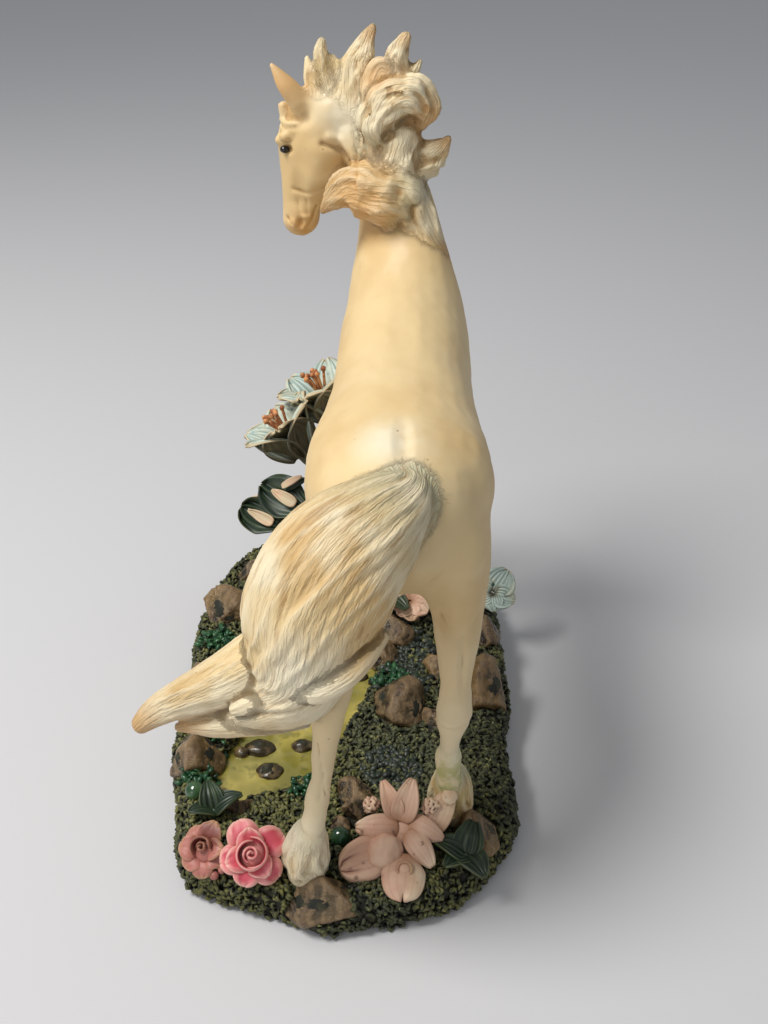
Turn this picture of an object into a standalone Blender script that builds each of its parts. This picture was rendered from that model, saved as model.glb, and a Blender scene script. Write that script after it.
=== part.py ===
"""Unicorn figurine: a resin horse casting on a flowered base.

The horse, with its mane, tail and the stub of its lost horn, is one casting glued by three
hooves to an oval ground casting. A tinted pool is poured into the ground, and moulded
flowers, leaves and berries are glued into drilled seats around it.

Axes: +X to the right of the horse, +Y the way the horse walks, +Z up. The origin is in the
middle of the underside of the ground. Shapes are written in millimetres and built in metres.
"""

import bpy
import bmesh
import math
from mathutils import Matrix, Vector, noise

for leftover in list(bpy.data.objects):
    bpy.data.objects.remove(leftover, do_unlink=True)

MM = 0.001

# Driving dimensions of the ground
GROUND_WIDTH = 109.0
GROUND_LENGTH = 184.0
GROUND_HEIGHT = 12.0
EDGE_ROUND = 3.0
FORE_MOUND_HEIGHT = 7.0
POOL_DROP = 3.4
POOL_THICKNESS = 2.4
SEAT_GAP = 0.3
SEAT_DEPTH = 1.2
PEG_RADIUS = 1.6
PEG_DEPTH = 4.0

# Driving dimensions of the horse: its height over the ground to the tallest lock, its length
# from the tail to the raised knee and its spread from the tip of the tail to the right hip
HORSE_HEIGHT = 198.7
HORSE_LENGTH = 165.0
HORSE_SPREAD = 89.3
HIP_WIDTH = 49.6
BARREL_WIDTH = 40.4
CHEST_WIDTH = 39.2
TRUNK_DEPTH = 42.6
THIGH_WIDTH = 28.0
FOREARM_WIDTH = 19.0
NECK_THICKNESS = 16.4
HEAD_DEPTH = 24.0
HEAD_WIDTH = 15.6
MUZZLE_DEPTH = 12.6
EAR_WIDTH = 7.2
HOCK_THICKNESS = 9.8
CANNON_THICKNESS = 6.2
FETLOCK_THICKNESS = 8.2
HOOF_WIDTH = 11.8
HORN_STUB_RADIUS = 1.7
HORN_STUB_RISE = 3.0
LOCK_THICKNESS = 9.0
TAIL_WIDTH = 32.0
TAIL_THICKNESS = 22.0
GROOVE_DEPTH = 0.9

# Driving dimensions of the flowers
ROSE_RADIUS = 8.2
SMALL_ROSE_RADIUS = 5.8
ROSE_LIFT = 1.6
BLOSSOM_SPREAD = 33.0
LILY_HEIGHT = 96.0
LILY_PETAL_LENGTH = 14.5
LILY_STEM_RADIUS = 2.2
SIDE_PETAL_LENGTH = 6.8
PINK_PETAL_LENGTH = 5.6
CREAM_LEAF_LENGTH = 15.0
GROUND_LEAF_LENGTH = 10.0
PETAL_THICKNESS = 1.1
LEAF_THICKNESS = 1.2
BERRY_RADIUS = 2.9

# Fineness of the castings
HORSE_VOXEL = 0.95
GROUND_VOXEL = 1.15
FLOWER_VOXEL = 0.42
HORSE_TRIANGLES = 4250
GROUND_TRIANGLES = 1250
ROSE_TRIANGLES = 450
SMALL_ROSE_TRIANGLES = 280
BLOSSOM_TRIANGLES = 780
LILY_TRIANGLES = 450
OPEN_FLOWER_TRIANGLES = 240
CREAM_LEAF_TRIANGLES = 280
GRASS_TRIANGLES = 200
LEAF_TRIANGLES = 120

SURFACE = GROUND_HEIGHT
SOLE = SURFACE - SEAT_DEPTH

# Extents between which the rows of the horse and of the ground are drawn
HORSE_DRAWN = (89.3, 165.0, 198.7)
GROUND_DRAWN = (109.0, 184.0)
HORSE_SIZE = (HORSE_SPREAD, HORSE_LENGTH, HORSE_HEIGHT)
STRETCH = tuple(size / drawn for size, drawn in zip(HORSE_SIZE, HORSE_DRAWN))
SPREAD = (GROUND_WIDTH / GROUND_DRAWN[0], GROUND_LENGTH / GROUND_DRAWN[1])

parts = bpy.data.collections.new("unicorn_figurine")
bpy.context.scene.collection.children.link(parts)
cutters = bpy.data.collections.new("cutters")
bpy.context.scene.collection.children.link(cutters)


def finish(name, colour, roughness):
    material = bpy.data.materials.new(name)
    material.use_nodes = True
    shader = material.node_tree.nodes["Principled BSDF"]
    shader.inputs["Base Color"].default_value = (*colour, 1.0)
    shader.inputs["Roughness"].default_value = roughness
    shader.inputs["Metallic"].default_value = 0.0
    return material


# Curves and lofts

def smooth_rows(rows, steps, closed=False):
    """Catmull-Rom curve through rows of numbers, such as x, y, z, half width, half depth."""
    count = len(rows)
    spans = count if closed else count - 1
    result = []
    for span in range(spans):
        if closed:
            before, start, end, after = (rows[(span + k) % count] for k in (-1, 0, 1, 2))
        else:
            before = rows[max(span - 1, 0)]
            start = rows[span]
            end = rows[span + 1]
            after = rows[min(span + 2, count - 1)]
        for step in range(steps):
            t = step / steps
            result.append(tuple(
                0.5 * (2 * b + (c - a) * t + (2 * a - 5 * b + 4 * c - d) * t * t
                       + (3 * b - a - 3 * c + d) * t ** 3)
                for a, b, c, d in zip(before, start, end, after)))
    if not closed:
        result.append(tuple(rows[-1]))
    return result


def add_limb(bm, rows, up=(0, 0, 1), sides=20, steps=4, ridges=0, ridge_depth=0.0, twist=0.0):
    """Loft of elliptical rings along a curve; rows hold x, y, z, half width, half depth."""
    rows = smooth_rows(rows, steps)
    up = Vector(up).normalized()
    centres = [Vector(row[:3]) for row in rows]
    rings = []
    for index, row in enumerate(rows):
        ahead = centres[min(index + 1, len(rows) - 1)]
        behind = centres[max(index - 1, 0)]
        tangent = (ahead - behind).normalized()
        side = tangent.cross(up).normalized()
        rise = side.cross(tangent).normalized()
        share = index / (len(rows) - 1)
        ring = []
        for k in range(sides):
            angle = math.tau * k / sides
            swell = 1.0
            if ridges:
                fade = math.sin(math.pi * min(share * 1.15 + 0.08, 1.0)) ** 0.5
                swell += fade * ridge_depth / max(row[3], 1.0) * math.cos(ridges * angle + twist * share)
            offset = side * (row[3] * swell * math.cos(angle)) + rise * (row[4] * swell * math.sin(angle))
            ring.append(bm.verts.new(centres[index] + offset))
        rings.append(ring)
    for ring, following in zip(rings, rings[1:]):
        for k in range(sides):
            n = (k + 1) % sides
            bm.faces.new((ring[k], ring[n], following[n], following[k]))
    ends = ((rings[0], centres[0] - centres[1], rows[0]), (rings[-1], centres[-1] - centres[-2], rows[-1]))
    for ring, outward, row in ends:
        tip = bm.verts.new(sum((v.co for v in ring), Vector()) / sides
                           + outward.normalized() * min(row[3], row[4]) * 0.6)
        for k in range(sides):
            bm.faces.new((ring[k], ring[(k + 1) % sides], tip))


def add_boulder(bm, centre, radii, turn=0.0, rough=0.0, detail=2):
    """Rounded stone: an icosphere stretched, turned and knocked out of true by noise."""
    made = bmesh.ops.create_icosphere(bm, subdivisions=detail, radius=1.0)["verts"]
    spin = Matrix.Rotation(math.radians(turn), 3, "Z")
    for vert in made:
        bump = 1.0 + rough * noise.noise(vert.co * 1.7 + Vector(centre) * 0.37)
        local = Vector((vert.co.x * radii[0], vert.co.y * radii[1], vert.co.z * radii[2])) * bump
        vert.co = Vector(centre) + spin @ local


def add_petal(bm, place, length, width, heading, rise, curl, cup, thickness, point=0.55, cells=8):
    """Closed petal or leaf blade: a strip that climbs at one angle and curls over to its tip."""
    across = 7
    heading = math.radians(heading)
    out = Vector((math.cos(heading), math.sin(heading), 0.0))
    side = Vector((-math.sin(heading), math.cos(heading), 0.0))
    middle = Vector((0.0, 0.0, 0.0))
    grid = []
    for i in range(cells + 1):
        t = i / cells
        climb = math.radians(rise + curl * t)
        forward = out * math.cos(climb) + Vector((0, 0, math.sin(climb)))
        normal = forward.cross(side).normalized() * -1.0
        if i:
            middle = middle + forward * (length / cells)
        half = 0.5 * width * math.sin(math.pi * (0.12 + 0.86 * t ** (1.0 - point * 0.4))) ** 0.6
        row = []
        for j in range(across):
            v = 2.0 * j / (across - 1) - 1.0
            surface = middle + side * (half * v) + normal * (cup * v * v * half)
            skin = 0.5 * thickness * (1.0 - 0.55 * abs(v) ** 3) * (1.0 - 0.35 * t)
            row.append((surface + normal * skin, surface - normal * skin))
        grid.append(row)
    tops = [[bm.verts.new(place @ pair[0]) for pair in row] for row in grid]
    backs = [[bm.verts.new(place @ pair[1]) for pair in row] for row in grid]
    for i in range(cells):
        for j in range(across - 1):
            bm.faces.new((tops[i][j], tops[i + 1][j], tops[i + 1][j + 1], tops[i][j + 1]))
            bm.faces.new((backs[i][j], backs[i][j + 1], backs[i + 1][j + 1], backs[i + 1][j]))
    border = [(i, 0) for i in range(cells)] + [(cells, j) for j in range(across - 1)]
    border += [(i, across - 1) for i in range(cells, 0, -1)] + [(0, j) for j in range(across - 1, 0, -1)]
    for (i, j), (m, n) in zip(border, border[1:] + border[:1]):
        bm.faces.new((tops[i][j], backs[i][j], backs[m][n], tops[m][n]))


def add_peg(bm, x, y, top, bottom, radius=PEG_RADIUS):
    """Round glue peg under a flower, a little longer than its depth and cut flat later."""
    extra = 1.0
    add_limb(bm, [(x, y, top, radius, radius), (x, y, bottom - extra, radius, radius)],
             up=(0, 1, 0), sides=12, steps=2)


# Solids

def solid(name, bm, material, collection=parts):
    """Object from a mesh drawn in millimetres."""
    bmesh.ops.recalc_face_normals(bm, faces=bm.faces)
    bmesh.ops.scale(bm, vec=(MM, MM, MM), verts=bm.verts)
    mesh = bpy.data.meshes.new(name)
    bm.to_mesh(mesh)
    bm.free()
    if material:
        mesh.materials.append(material)
    made = bpy.data.objects.new(name, mesh)
    collection.objects.link(made)
    return made


def settle(item):
    """Replaces an object's mesh by what its modifiers make of it."""
    bpy.context.view_layer.update()
    graph = bpy.context.evaluated_depsgraph_get()
    mesh = bpy.data.meshes.new_from_object(item.evaluated_get(graph))
    old = item.data
    item.modifiers.clear()
    item.data = mesh
    bpy.data.meshes.remove(old)
    mesh.name = item.name


def keep_largest(item):
    """Drops the specks and inner bubbles that a fused skin can hold."""
    bm = bmesh.new()
    bm.from_mesh(item.data)
    groups = []
    unseen = set(bm.verts)
    while unseen:
        stack = [unseen.pop()]
        group = set(stack)
        while stack:
            for edge in stack.pop().link_edges:
                for vert in edge.verts:
                    if vert in unseen:
                        unseen.discard(vert)
                        group.add(vert)
                        stack.append(vert)
        groups.append(group)
    largest = max(groups, key=len)
    spare = [vert for group in groups if group is not largest for vert in group]
    bmesh.ops.delete(bm, geom=spare, context="VERTS")
    bm.to_mesh(item.data)
    bm.free()


def fuse(item, voxel, triangles, smoothing=4, relief=None):
    """One skin over the overlapping lofts, smoothed, thinned to a number of triangles."""
    remesh = item.modifiers.new("fuse", "REMESH")
    remesh.mode = "VOXEL"
    remesh.voxel_size = voxel * MM
    smooth = item.modifiers.new("soften", "SMOOTH")
    smooth.factor = 0.5
    smooth.iterations = smoothing
    settle(item)
    keep_largest(item)
    if relief:
        skin = [(vert.co.copy(), vert.normal.copy()) for vert in item.data.vertices]
        raised = [place + normal * (relief(place / MM, normal) * MM) for place, normal in skin]
        item.data.vertices.foreach_set("co", [value for place in raised for value in place])
    item.data.calc_loop_triangles()
    thin = item.modifiers.new("thin", "DECIMATE")
    thin.ratio = min(1.0, triangles / len(item.data.loop_triangles))
    settle(item)
    item.data.shade_smooth()


def cut_flat(item, height):
    """Saws an object off level at a height and closes the cut."""
    bm = bmesh.new()
    bm.from_mesh(item.data)
    bmesh.ops.bisect_plane(bm, geom=bm.verts[:] + bm.edges[:] + bm.faces[:], dist=1e-7,
                           plane_co=(0, 0, height * MM), plane_no=(0, 0, -1), clear_outer=True)
    rims = [edge for edge in bm.edges if edge.is_boundary]
    caps = bmesh.ops.triangle_fill(bm, edges=rims, use_beauty=True)["geom"]
    faces = [part for part in caps if isinstance(part, bmesh.types.BMFace)]
    for face in faces:
        face.smooth = False
    bmesh.ops.recalc_face_normals(bm, faces=bm.faces)
    bm.to_mesh(item.data)
    bm.free()


def boolean(item, tools, operation="DIFFERENCE"):
    """Cuts an object by a collection of tools, or joins them to it, in one step."""
    step = item.modifiers.new(tools.name, "BOOLEAN")
    step.operation = operation
    step.solver = "EXACT"
    step.operand_type = "COLLECTION"
    step.collection = tools
    settle(item)


def tool_group(name):
    group = bpy.data.collections.new(name)
    cutters.children.link(group)
    return group


def hidden(tool):
    tool.hide_render = True
    tool.display_type = "WIRE"
    return tool


def post_cutter(name, group, x, y, radius, floor, top, sides=16, stretch=1.0):
    """Upright round cutter, used for flat seats and peg holes."""
    bm = bmesh.new()
    bmesh.ops.create_cone(bm, cap_ends=True, segments=sides, radius1=radius, radius2=radius,
                          depth=top - floor,
                          matrix=Matrix.Translation((x, y, 0.5 * (top + floor)))
                          @ Matrix.Diagonal((1, stretch, 1, 1)))
    hidden(solid(name, bm, None, group))


# Horse casting

def lift(rows, floor=SURFACE):
    """Rows drawn as heights above the ground, stretched to the horse's size and raised onto it."""
    kx, ky, kz = STRETCH
    return [(x * kx, y * ky, z * kz + floor, *girth) for x, y, z, *girth in rows]


def footprint(x, y):
    return (x * STRETCH[0], y * STRETCH[1])


RIGHT_HIND_HOOF = footprint(30.0, -58.5)
LEFT_HIND_HOOF = footprint(-11.0, -80.0)
RIGHT_FORE_HOOF = footprint(25.0, 53.0)
HOOF_STRETCH = 1.1


def add_leg(bm, upper, joints, hoof):
    """Leg from its muscle down to the hoof; joints and bones take the driving thicknesses."""
    hock, shin, fetlock, pastern, coronet = joints
    h = HOCK_THICKNESS / 2
    c = CANNON_THICKNESS / 2
    f = FETLOCK_THICKNESS / 2
    w = HOOF_WIDTH / 2
    mid = [(a + b) / 2 for a, b in zip(hock, shin)]
    low = [(a + b) / 2 for a, b in zip(shin, fetlock)]
    down = [b - a for a, b in zip(coronet, hoof)]
    beyond = [b + 0.12 * d for b, d in zip(hoof, down)]
    rows = list(upper) + [(*hock, h, h * 1.2), (*mid, c * 1.2, c * 1.25), (*shin, c, c * 1.15),
                          (*low, c * 1.05, c * 1.2), (*fetlock, f, f * 1.1), (*pastern, f * 0.86, f * 0.95),
                          (*coronet, w * 0.8, w * 0.88), (*hoof, w, w * HOOF_STRETCH),
                          (*beyond, w * 1.03, w * HOOF_STRETCH * 1.03)]
    add_limb(bm, rows, up=(0, 1, 0), sides=16, steps=3)


def build_horse():
    bm = bmesh.new()
    hip = HIP_WIDTH / 2
    barrel = BARREL_WIDTH / 2
    chest = CHEST_WIDTH / 2
    depth = TRUNK_DEPTH / 2
    neck = NECK_THICKNESS / 2
    add_limb(bm, lift([
        (16.5, -67, 96, hip * 0.36, depth * 0.50), (16, -61, 97, hip * 0.70, depth * 0.86),
        (15, -51, 98.5, hip * 0.92, depth), (14.6, -41, 100, hip, depth),
        (14.5, -29, 101.5, hip, depth * 0.96), (15.2, -14, 102.5, barrel * 1.11, depth * 0.96),
        (15.9, 2, 105, barrel * 1.02, depth), (16.6, 18, 108.5, barrel, depth * 1.05),
        (17, 32, 112, chest, depth * 1.12), (17, 43, 113.5, chest * 0.9, depth * 1.05),
        (17, 52, 112, chest * 0.68, depth * 0.80), (17, 57, 110, chest * 0.44, depth * 0.52)]),
        sides=28)
    add_limb(bm, lift([
        (16.8, 34, 118, neck * 2.2, depth * 0.95), (16, 43, 131, neck * 1.74, depth * 0.83),
        (14.6, 49, 145, neck * 1.2, depth * 0.69), (11, 53, 158, neck, depth * 0.61),
        (4.5, 54.5, 167, neck * 0.95, depth * 0.58), (-2.5, 54, 172.5, neck * 0.92, depth * 0.48),
        (-8, 53, 175, neck * 0.85, depth * 0.38)]), up=(0.5, -0.5, 0.7), sides=22)
    build_head(bm)
    thigh = THIGH_WIDTH / 2
    add_leg(bm, lift([(24.6, -48, 95, thigh, thigh * 1.08), (28.2, -52, 83, thigh * 0.77, thigh * 0.96),
                      (29.8, -57, 72, thigh * 0.5, thigh * 0.62)]),
            lift([(29.4, -67, 53), (28.7, -64.5, 35), (28.6, -62, 26), (29, -61, 19), (29.6, -60, 13.5)]),
            (*RIGHT_HIND_HOOF, SOLE))
    add_leg(bm, lift([(7, -48, 96, thigh * 0.86, thigh * 1.08), (4, -56, 84, thigh * 0.72, thigh * 0.93),
                      (0, -68, 73, thigh * 0.48, thigh * 0.62)]),
            lift([(-3, -80, 61), (-5.5, -80.4, 38), (-7, -80, 28), (-8.4, -80.5, 20), (-10, -80.8, 13)]),
            (*LEFT_HIND_HOOF, SOLE))
    buttock = Vector(lift([(26.2, -56, 91)])[0])
    add_boulder(bm, buttock, (thigh * 0.78, thigh * 0.72, thigh * 1.2))
    arm = FOREARM_WIDTH / 2
    mound = SURFACE + FORE_MOUND_HEIGHT
    add_leg(bm, lift([(26, 36, 106, arm, arm * 1.47), (27, 40, 90, arm * 0.84, arm * 1.16),
                      (26.6, 44, 75, arm * 0.59, arm * 0.67)]),
            lift([(26, 46, 62), (25.2, 46.5, 40)]) + lift([(25, 47.5, 24), (25, 50, 17), (25, 51.5, 12)], mound),
            (*RIGHT_FORE_HOOF, mound - SEAT_DEPTH))
    add_leg(bm, lift([(9, 37, 104, arm, arm * 1.47), (8, 46, 91, arm * 0.84, arm),
                      (6.5, 56, 81, arm * 0.57, arm * 0.63)]),
            lift([(5.5, 64.5, 74), (5.5, 60.5, 55), (5.5, 57.5, 47), (5.5, 53.5, 42), (5.5, 50, 39.5)]),
            *lift([(5.5, 42, 36.5)]))
    build_mane(bm)
    build_tail(bm)
    horse = solid("horse", bm, finish("cream_resin", (0.80, 0.66, 0.37), 0.42))
    fuse(horse, HORSE_VOXEL, HORSE_TRIANGLES, smoothing=3)
    saws = tool_group("sole_saws")
    standing = ((RIGHT_HIND_HOOF, SOLE), (LEFT_HIND_HOOF, SOLE), (RIGHT_FORE_HOOF, mound - SEAT_DEPTH))
    for place, floor in standing:
        post_cutter("sole_saw", saws, *place, HOOF_WIDTH, floor - 8, floor)
    boolean(horse, saws)


def build_head(bm):
    """Head turned to the horse's left, with cheek, brows, ears and the stub of the horn."""
    w = HEAD_WIDTH / 2
    d = HEAD_DEPTH / 2
    m = MUZZLE_DEPTH / 2
    forehead = (-0.86, 0.5, 0.0)
    add_limb(bm, lift([
        (-5, 53.5, 178, w * 0.82, d * 0.66), (-8.5, 54, 172.5, w * 0.96, d * 0.95),
        (-11, 54.5, 165, w, d), (-12.5, 55, 158, w * 0.9, d * 0.88), (-14.3, 55, 151, w * 0.73, d * 0.64),
        (-15.3, 55, 145, w * 0.64, m * 1.04), (-15.2, 55, 140.5, w * 0.62, m),
        (-14.6, 55, 138, w * 0.45, m * 0.72)]), up=forehead, sides=20)
    drawn = [(-6.5, 51.5, 159.5), (-18.6, 57, 166.6), (-18.2, 57, 141.6)]
    cheek, brow, nostril = (Vector(row) for row in lift(drawn))
    add_boulder(bm, cheek, (w * 0.95, w * 0.62, w * 1.1), turn=-28)
    for side in (-1, 1):
        across = Vector((0.5, 0.86, 0.0)) * side
        add_boulder(bm, brow + across * (w * 0.62), (w * 0.31, w * 0.28, w * 0.24))
        add_boulder(bm, nostril + across * (w * 0.42), (w * 0.24, w * 0.22, w * 0.28))
    ear = EAR_WIDTH / 2
    add_limb(bm, lift([(-11, 51, 171.5, ear * 0.8, ear * 0.62), (-13.8, 50.4, 177, ear, ear * 0.78),
                       (-18, 50.4, 182.5, ear * 0.82, ear * 0.64), (-22.2, 51.2, 188.6, ear * 0.2, ear * 0.2)]),
             up=(0.2, -1, 0.2), sides=12)
    add_limb(bm, lift([(-7, 58, 173.5, ear * 0.8, ear * 0.62), (-9, 60, 178, ear, ear * 0.72),
                       (-11, 61.5, 183, ear * 0.8, ear * 0.62), (-12.4, 62.6, 188.6, ear * 0.2, ear * 0.2)]),
             up=(0.5, 0.8, 0.1), sides=12)
    r = HORN_STUB_RADIUS
    root, base = (Vector(row) for row in lift([(-15, 55, 171), (-18.2, 56.4, 173.6)]))
    rise = Vector((-0.55, 0.25, 0.7)) * (HORN_STUB_RISE / HORN_STUB_RADIUS)
    add_limb(bm, [(*root, r * 1.5, r * 1.5), (*(base - rise * 0.2), r * 1.45, r * 1.45), (*base, r, r),
                  (*(base + rise * r * 1.3), r * 0.94, r * 0.94)],
             up=(0, 1, 0), sides=12, steps=3)


def build_mane(bm):
    """Wind-blown locks, each a tapered lock of hair rooted in the crest of the neck; their half
    sizes are drawn for the thickest lock and follow its thickness."""
    drawn = 9.0
    full = LOCK_THICKNESS / drawn
    locks = [
        [(-4, 55, 173, 4.4, 3.4), (-7.6, 54, 179.6, 3.8, 3.2), (-9.8, 53, 184.6, 2.6, 2.3),
         (-9.5, 52.6, 188.2, 1.2, 1.2)],
        [(-1.6, 55, 174, 4.2, 3.6), (-5.6, 53.8, 182.6, 3.4, 2.9), (-7.5, 53, 190, 2.6, 2.4),
         (-7.4, 53, 194.7, 1.2, 1.2)],
        [(1.6, 54.6, 174, 4.2, 3.6), (-2.6, 53.6, 182, 3.2, 2.9), (-4.2, 53, 187.8, 2.2, 2),
         (-4.2, 53, 190.5, 1, 1)],
        [(5.4, 53, 172, 6.4, 4), (2.8, 52, 178.6, 6.5, 4.1), (2.4, 51.4, 186.4, 5.3, 3.6), (5, 50.8, 193, 3.2, 2.5),
         (7.6, 50, 198.7, 0.8, 0.8)],
        [(8, 48, 168, 5.2, 5), (9, 46.5, 177, 4.2, 4.2), (8, 45, 183, 3.8, 3.8), (10, 44.6, 187.6, 3.4, 3.2),
         (12.2, 45.2, 185, 2.4, 2.4)],
        [(13, 47, 168, 5.2, 5), (14.6, 46.4, 178, 4, 4), (14.4, 46, 187, 3.4, 3.2), (15.2, 45.4, 193, 3, 2.8),
         (17, 45, 197, 1.6, 1.6)],
        [(15.5, 46.4, 182, 2.6, 2.6), (18, 45.6, 186, 2.2, 2.2), (20.8, 45, 190.6, 0.9, 0.9)],
        [(12, 46, 164, 6, 6), (8.6, 41.6, 173.5, 5, 4.8), (12.4, 40.4, 180.6, 5.2, 4.8),
         (18, 40.4, 182, 5, 4.6), (22.6, 41, 178, 4, 3.8), (21.6, 41.4, 172.4, 1.6, 1.6)],
        [(17, 44, 172, 4, 4), (22, 43.6, 175, 3, 3), (26.6, 43, 178, 0.9, 0.9)],
        [(16, 46, 158, 6, 6), (21.6, 44, 162, 5, 5), (25.6, 42.6, 166, 3.8, 3.4), (29.4, 41.8, 169.8, 0.9, 0.9)],
        [(16, 46, 154, 7, 7), (13.4, 42.6, 158, 7.6, 6.6), (14.6, 42, 166, 7, 6), (16, 43, 172, 5.4, 5)],
        [(19, 43, 150, 7, 6), (13.6, 39.4, 154, 9, 8), (6.6, 39.6, 155, 8.6, 7), (0, 40.6, 155.4, 6, 4.6),
         (-5, 41.4, 151.6, 3, 2.6), (-8, 42, 148.2, 0.9, 0.9)],
        [(17, 41, 155, 5.6, 5), (20.6, 37.4, 149, 4.6, 3.8), (24.6, 36.4, 143, 3.2, 2.6), (28.2, 37, 137.4, 0.9, 0.9)],
    ]
    for lock in locks:
        thick = [(x, y, z, w * full, d * full) for x, y, z, w, d in lock]
        add_limb(bm, lift(thick), up=(0, -1, 0.4), sides=30, steps=5, ridges=6,
                 ridge_depth=GROOVE_DEPTH * 0.7, twist=1.6)


def build_tail(bm):
    """Tail swept to the horse's left: a full bulb of hair that divides into two curved tips."""
    wide = TAIL_WIDTH / 2
    thick = TAIL_THICKNESS / 2
    towards_back = (0, -0.85, 0.53)
    add_limb(bm, lift([
        (16.5, -56, 110, wide * 0.25, thick * 0.36), (15.5, -64, 111.5, wide * 0.42, thick * 0.6),
        (9.5, -71, 109.5, wide * 0.72, thick * 0.82), (0.5, -78, 103, wide * 0.98, thick),
        (-6, -82, 92.5, wide, thick), (-8.6, -84, 82, wide * 0.84, thick * 0.96),
        (-12, -85.4, 72.5, wide * 0.64, thick * 0.84), (-20, -85.6, 66, wide * 0.4, thick * 0.6),
        (-27, -85.6, 62.4, wide * 0.22, thick * 0.3)]),
        up=towards_back, sides=72, steps=7, ridges=11, ridge_depth=GROOVE_DEPTH, twist=2.2)
    add_limb(bm, lift([
        (-10, -82, 84, wide * 0.44, thick * 0.55), (-19, -82.6, 77, wide * 0.46, thick * 0.55),
        (-28, -83.6, 71.6, wide * 0.39, thick * 0.47), (-38, -84, 66.6, wide * 0.3, thick * 0.38),
        (-45.5, -84, 62, wide * 0.22, thick * 0.29), (-50.2, -84, 57.6, wide * 0.12, thick * 0.17)]),
        up=towards_back, sides=36, steps=5, ridges=6, ridge_depth=GROOVE_DEPTH * 0.6, twist=1.0)
    add_limb(bm, lift([
        (-10, -86, 68, wide * 0.44, thick * 0.64), (-19, -86.6, 64, wide * 0.31, thick * 0.45),
        (-29, -86, 60.6, wide * 0.21, thick * 0.29), (-36, -85, 59, wide * 0.14, thick * 0.19),
        (-40.6, -84, 57.2, wide * 0.06, thick * 0.08)]),
        up=towards_back, sides=30, steps=5, ridges=5, ridge_depth=GROOVE_DEPTH * 0.5, twist=1.0)


# Ground casting

def spot(x, y):
    """Place on the ground, stretched from the drawn outline to the driving width and length."""
    return (x * SPREAD[0], y * SPREAD[1])


OUTLINE = [
    (-17, -88), (-6, -93), (6, -90.5), (20, -88), (33, -82), (42, -71), (49, -59), (49.5, -43), (48.5, -25),
    (52, -8), (52, 10), (52, 27), (51, 46), (46, 66), (33, 82), (12, 90), (-12, 91), (-32, 87), (-45, 78),
    (-52, 60), (-57, 38), (-56, 15), (-55, -10), (-56, -32), (-51, -50), (-50, -62), (-45, -77), (-33, -83)]

POOL_OUTLINE = [
    (-43, -45), (-34, -53), (-22, -51), (-11, -43), (-3, -30), (3, -13), (8, 3), (10, 15), (3, 21),
    (-7, 16), (-16, 6), (-25, -4), (-33, -16), (-39, -30)]

# Stones of the ground: x, y, height of the middle over the ground, three half sizes, turn
STONES = [
    (-48, -36, -1, 8.0, 8.5, 8.5, 20), (-32, -57, -2, 5.0, 4.0, 4.0, 0), (-46, 39, 1, 9.5, 10.0, 9.0, -20),
    (-6, -86, -5, 10.5, 7.0, 8.0, 0), (37, -67, -1, 7.5, 7.5, 6.5, 30), (43, -5, 1, 8.5, 12.0, 9.5, 10),
    (46, 24, 0, 6.0, 8.0, 8.0, -15), (16, -14, 1, 9.0, 11.0, 8.5, 15), (27, -20, -1, 5.0, 6.0, 5.0, 0),
    (14, 23, 1, 8.0, 7.0, 7.0, 40), (2, -52, -1, 6.5, 5.5, 5.5, -20), (-2, -64, -2, 4.5, 3.6, 4.0, 20),
    (30, 6, -1, 6.0, 8.0, 5.5, 20), (-50, 2, -2, 5.5, 7.5, 6.0, 10), (-40, 62, -1, 6.0, 6.0, 6.0, 0),
    (38, 62, -1, 8.0, 8.0, 7.0, 30), (2, 82, -3, 9.0, 6.5, 7.0, -10), (-28, 78, -3, 7.0, 6.0, 6.0, 15)]

# Pebbles that stand in the pool: x, y, half sizes
PEBBLES = [(-25, -39, 4.0, 3.2), (-15.5, -28, 3.2, 2.6), (-29, -29, 4.6, 3.4), (-7, -14, 2.6, 2.2), (2, 6, 3.0, 2.4)]
PEBBLE_RISE = 1.5


def outline_ring(bm, outline, height, inset, steps=3):
    """Closed smooth ring through an outline, moved inwards and set at a height."""
    points = [Vector(spot(x, y)) for x, y in smooth_rows(outline, steps, closed=True)]
    ring = []
    for index, point in enumerate(points):
        along = points[(index + 1) % len(points)] - points[index - 1]
        inward = Vector((-along.y, along.x)).normalized()
        moved = point + inward * inset
        ring.append(bm.verts.new((moved.x, moved.y, height)))
    return ring


def add_slab(bm, outline, levels, steps=3):
    """Slab whose rim steps through heights and insets, closed by its first and last ring."""
    rings = [outline_ring(bm, outline, height, inset, steps) for height, inset in levels]
    for lower, upper in zip(rings, rings[1:]):
        count = len(lower)
        for k in range(count):
            n = (k + 1) % count
            bm.faces.new((lower[k], lower[n], upper[n], upper[k]))
    bm.faces.new(list(reversed(rings[0])))
    bm.faces.new(rings[-1])


def moss_relief(place, normal):
    """Height of the curly moss over the casting, none on the stones or under the edge."""
    near_stone = min(math.dist(place.xy, spot(*s[:2])) / max(s[3], s[4]) for s in STONES)
    if near_stone < 1.0 or normal.z < -0.3:
        return 0.0
    return 0.9 * noise.noise(place * 0.55) + 0.5 * noise.noise(place * 1.3)


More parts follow.
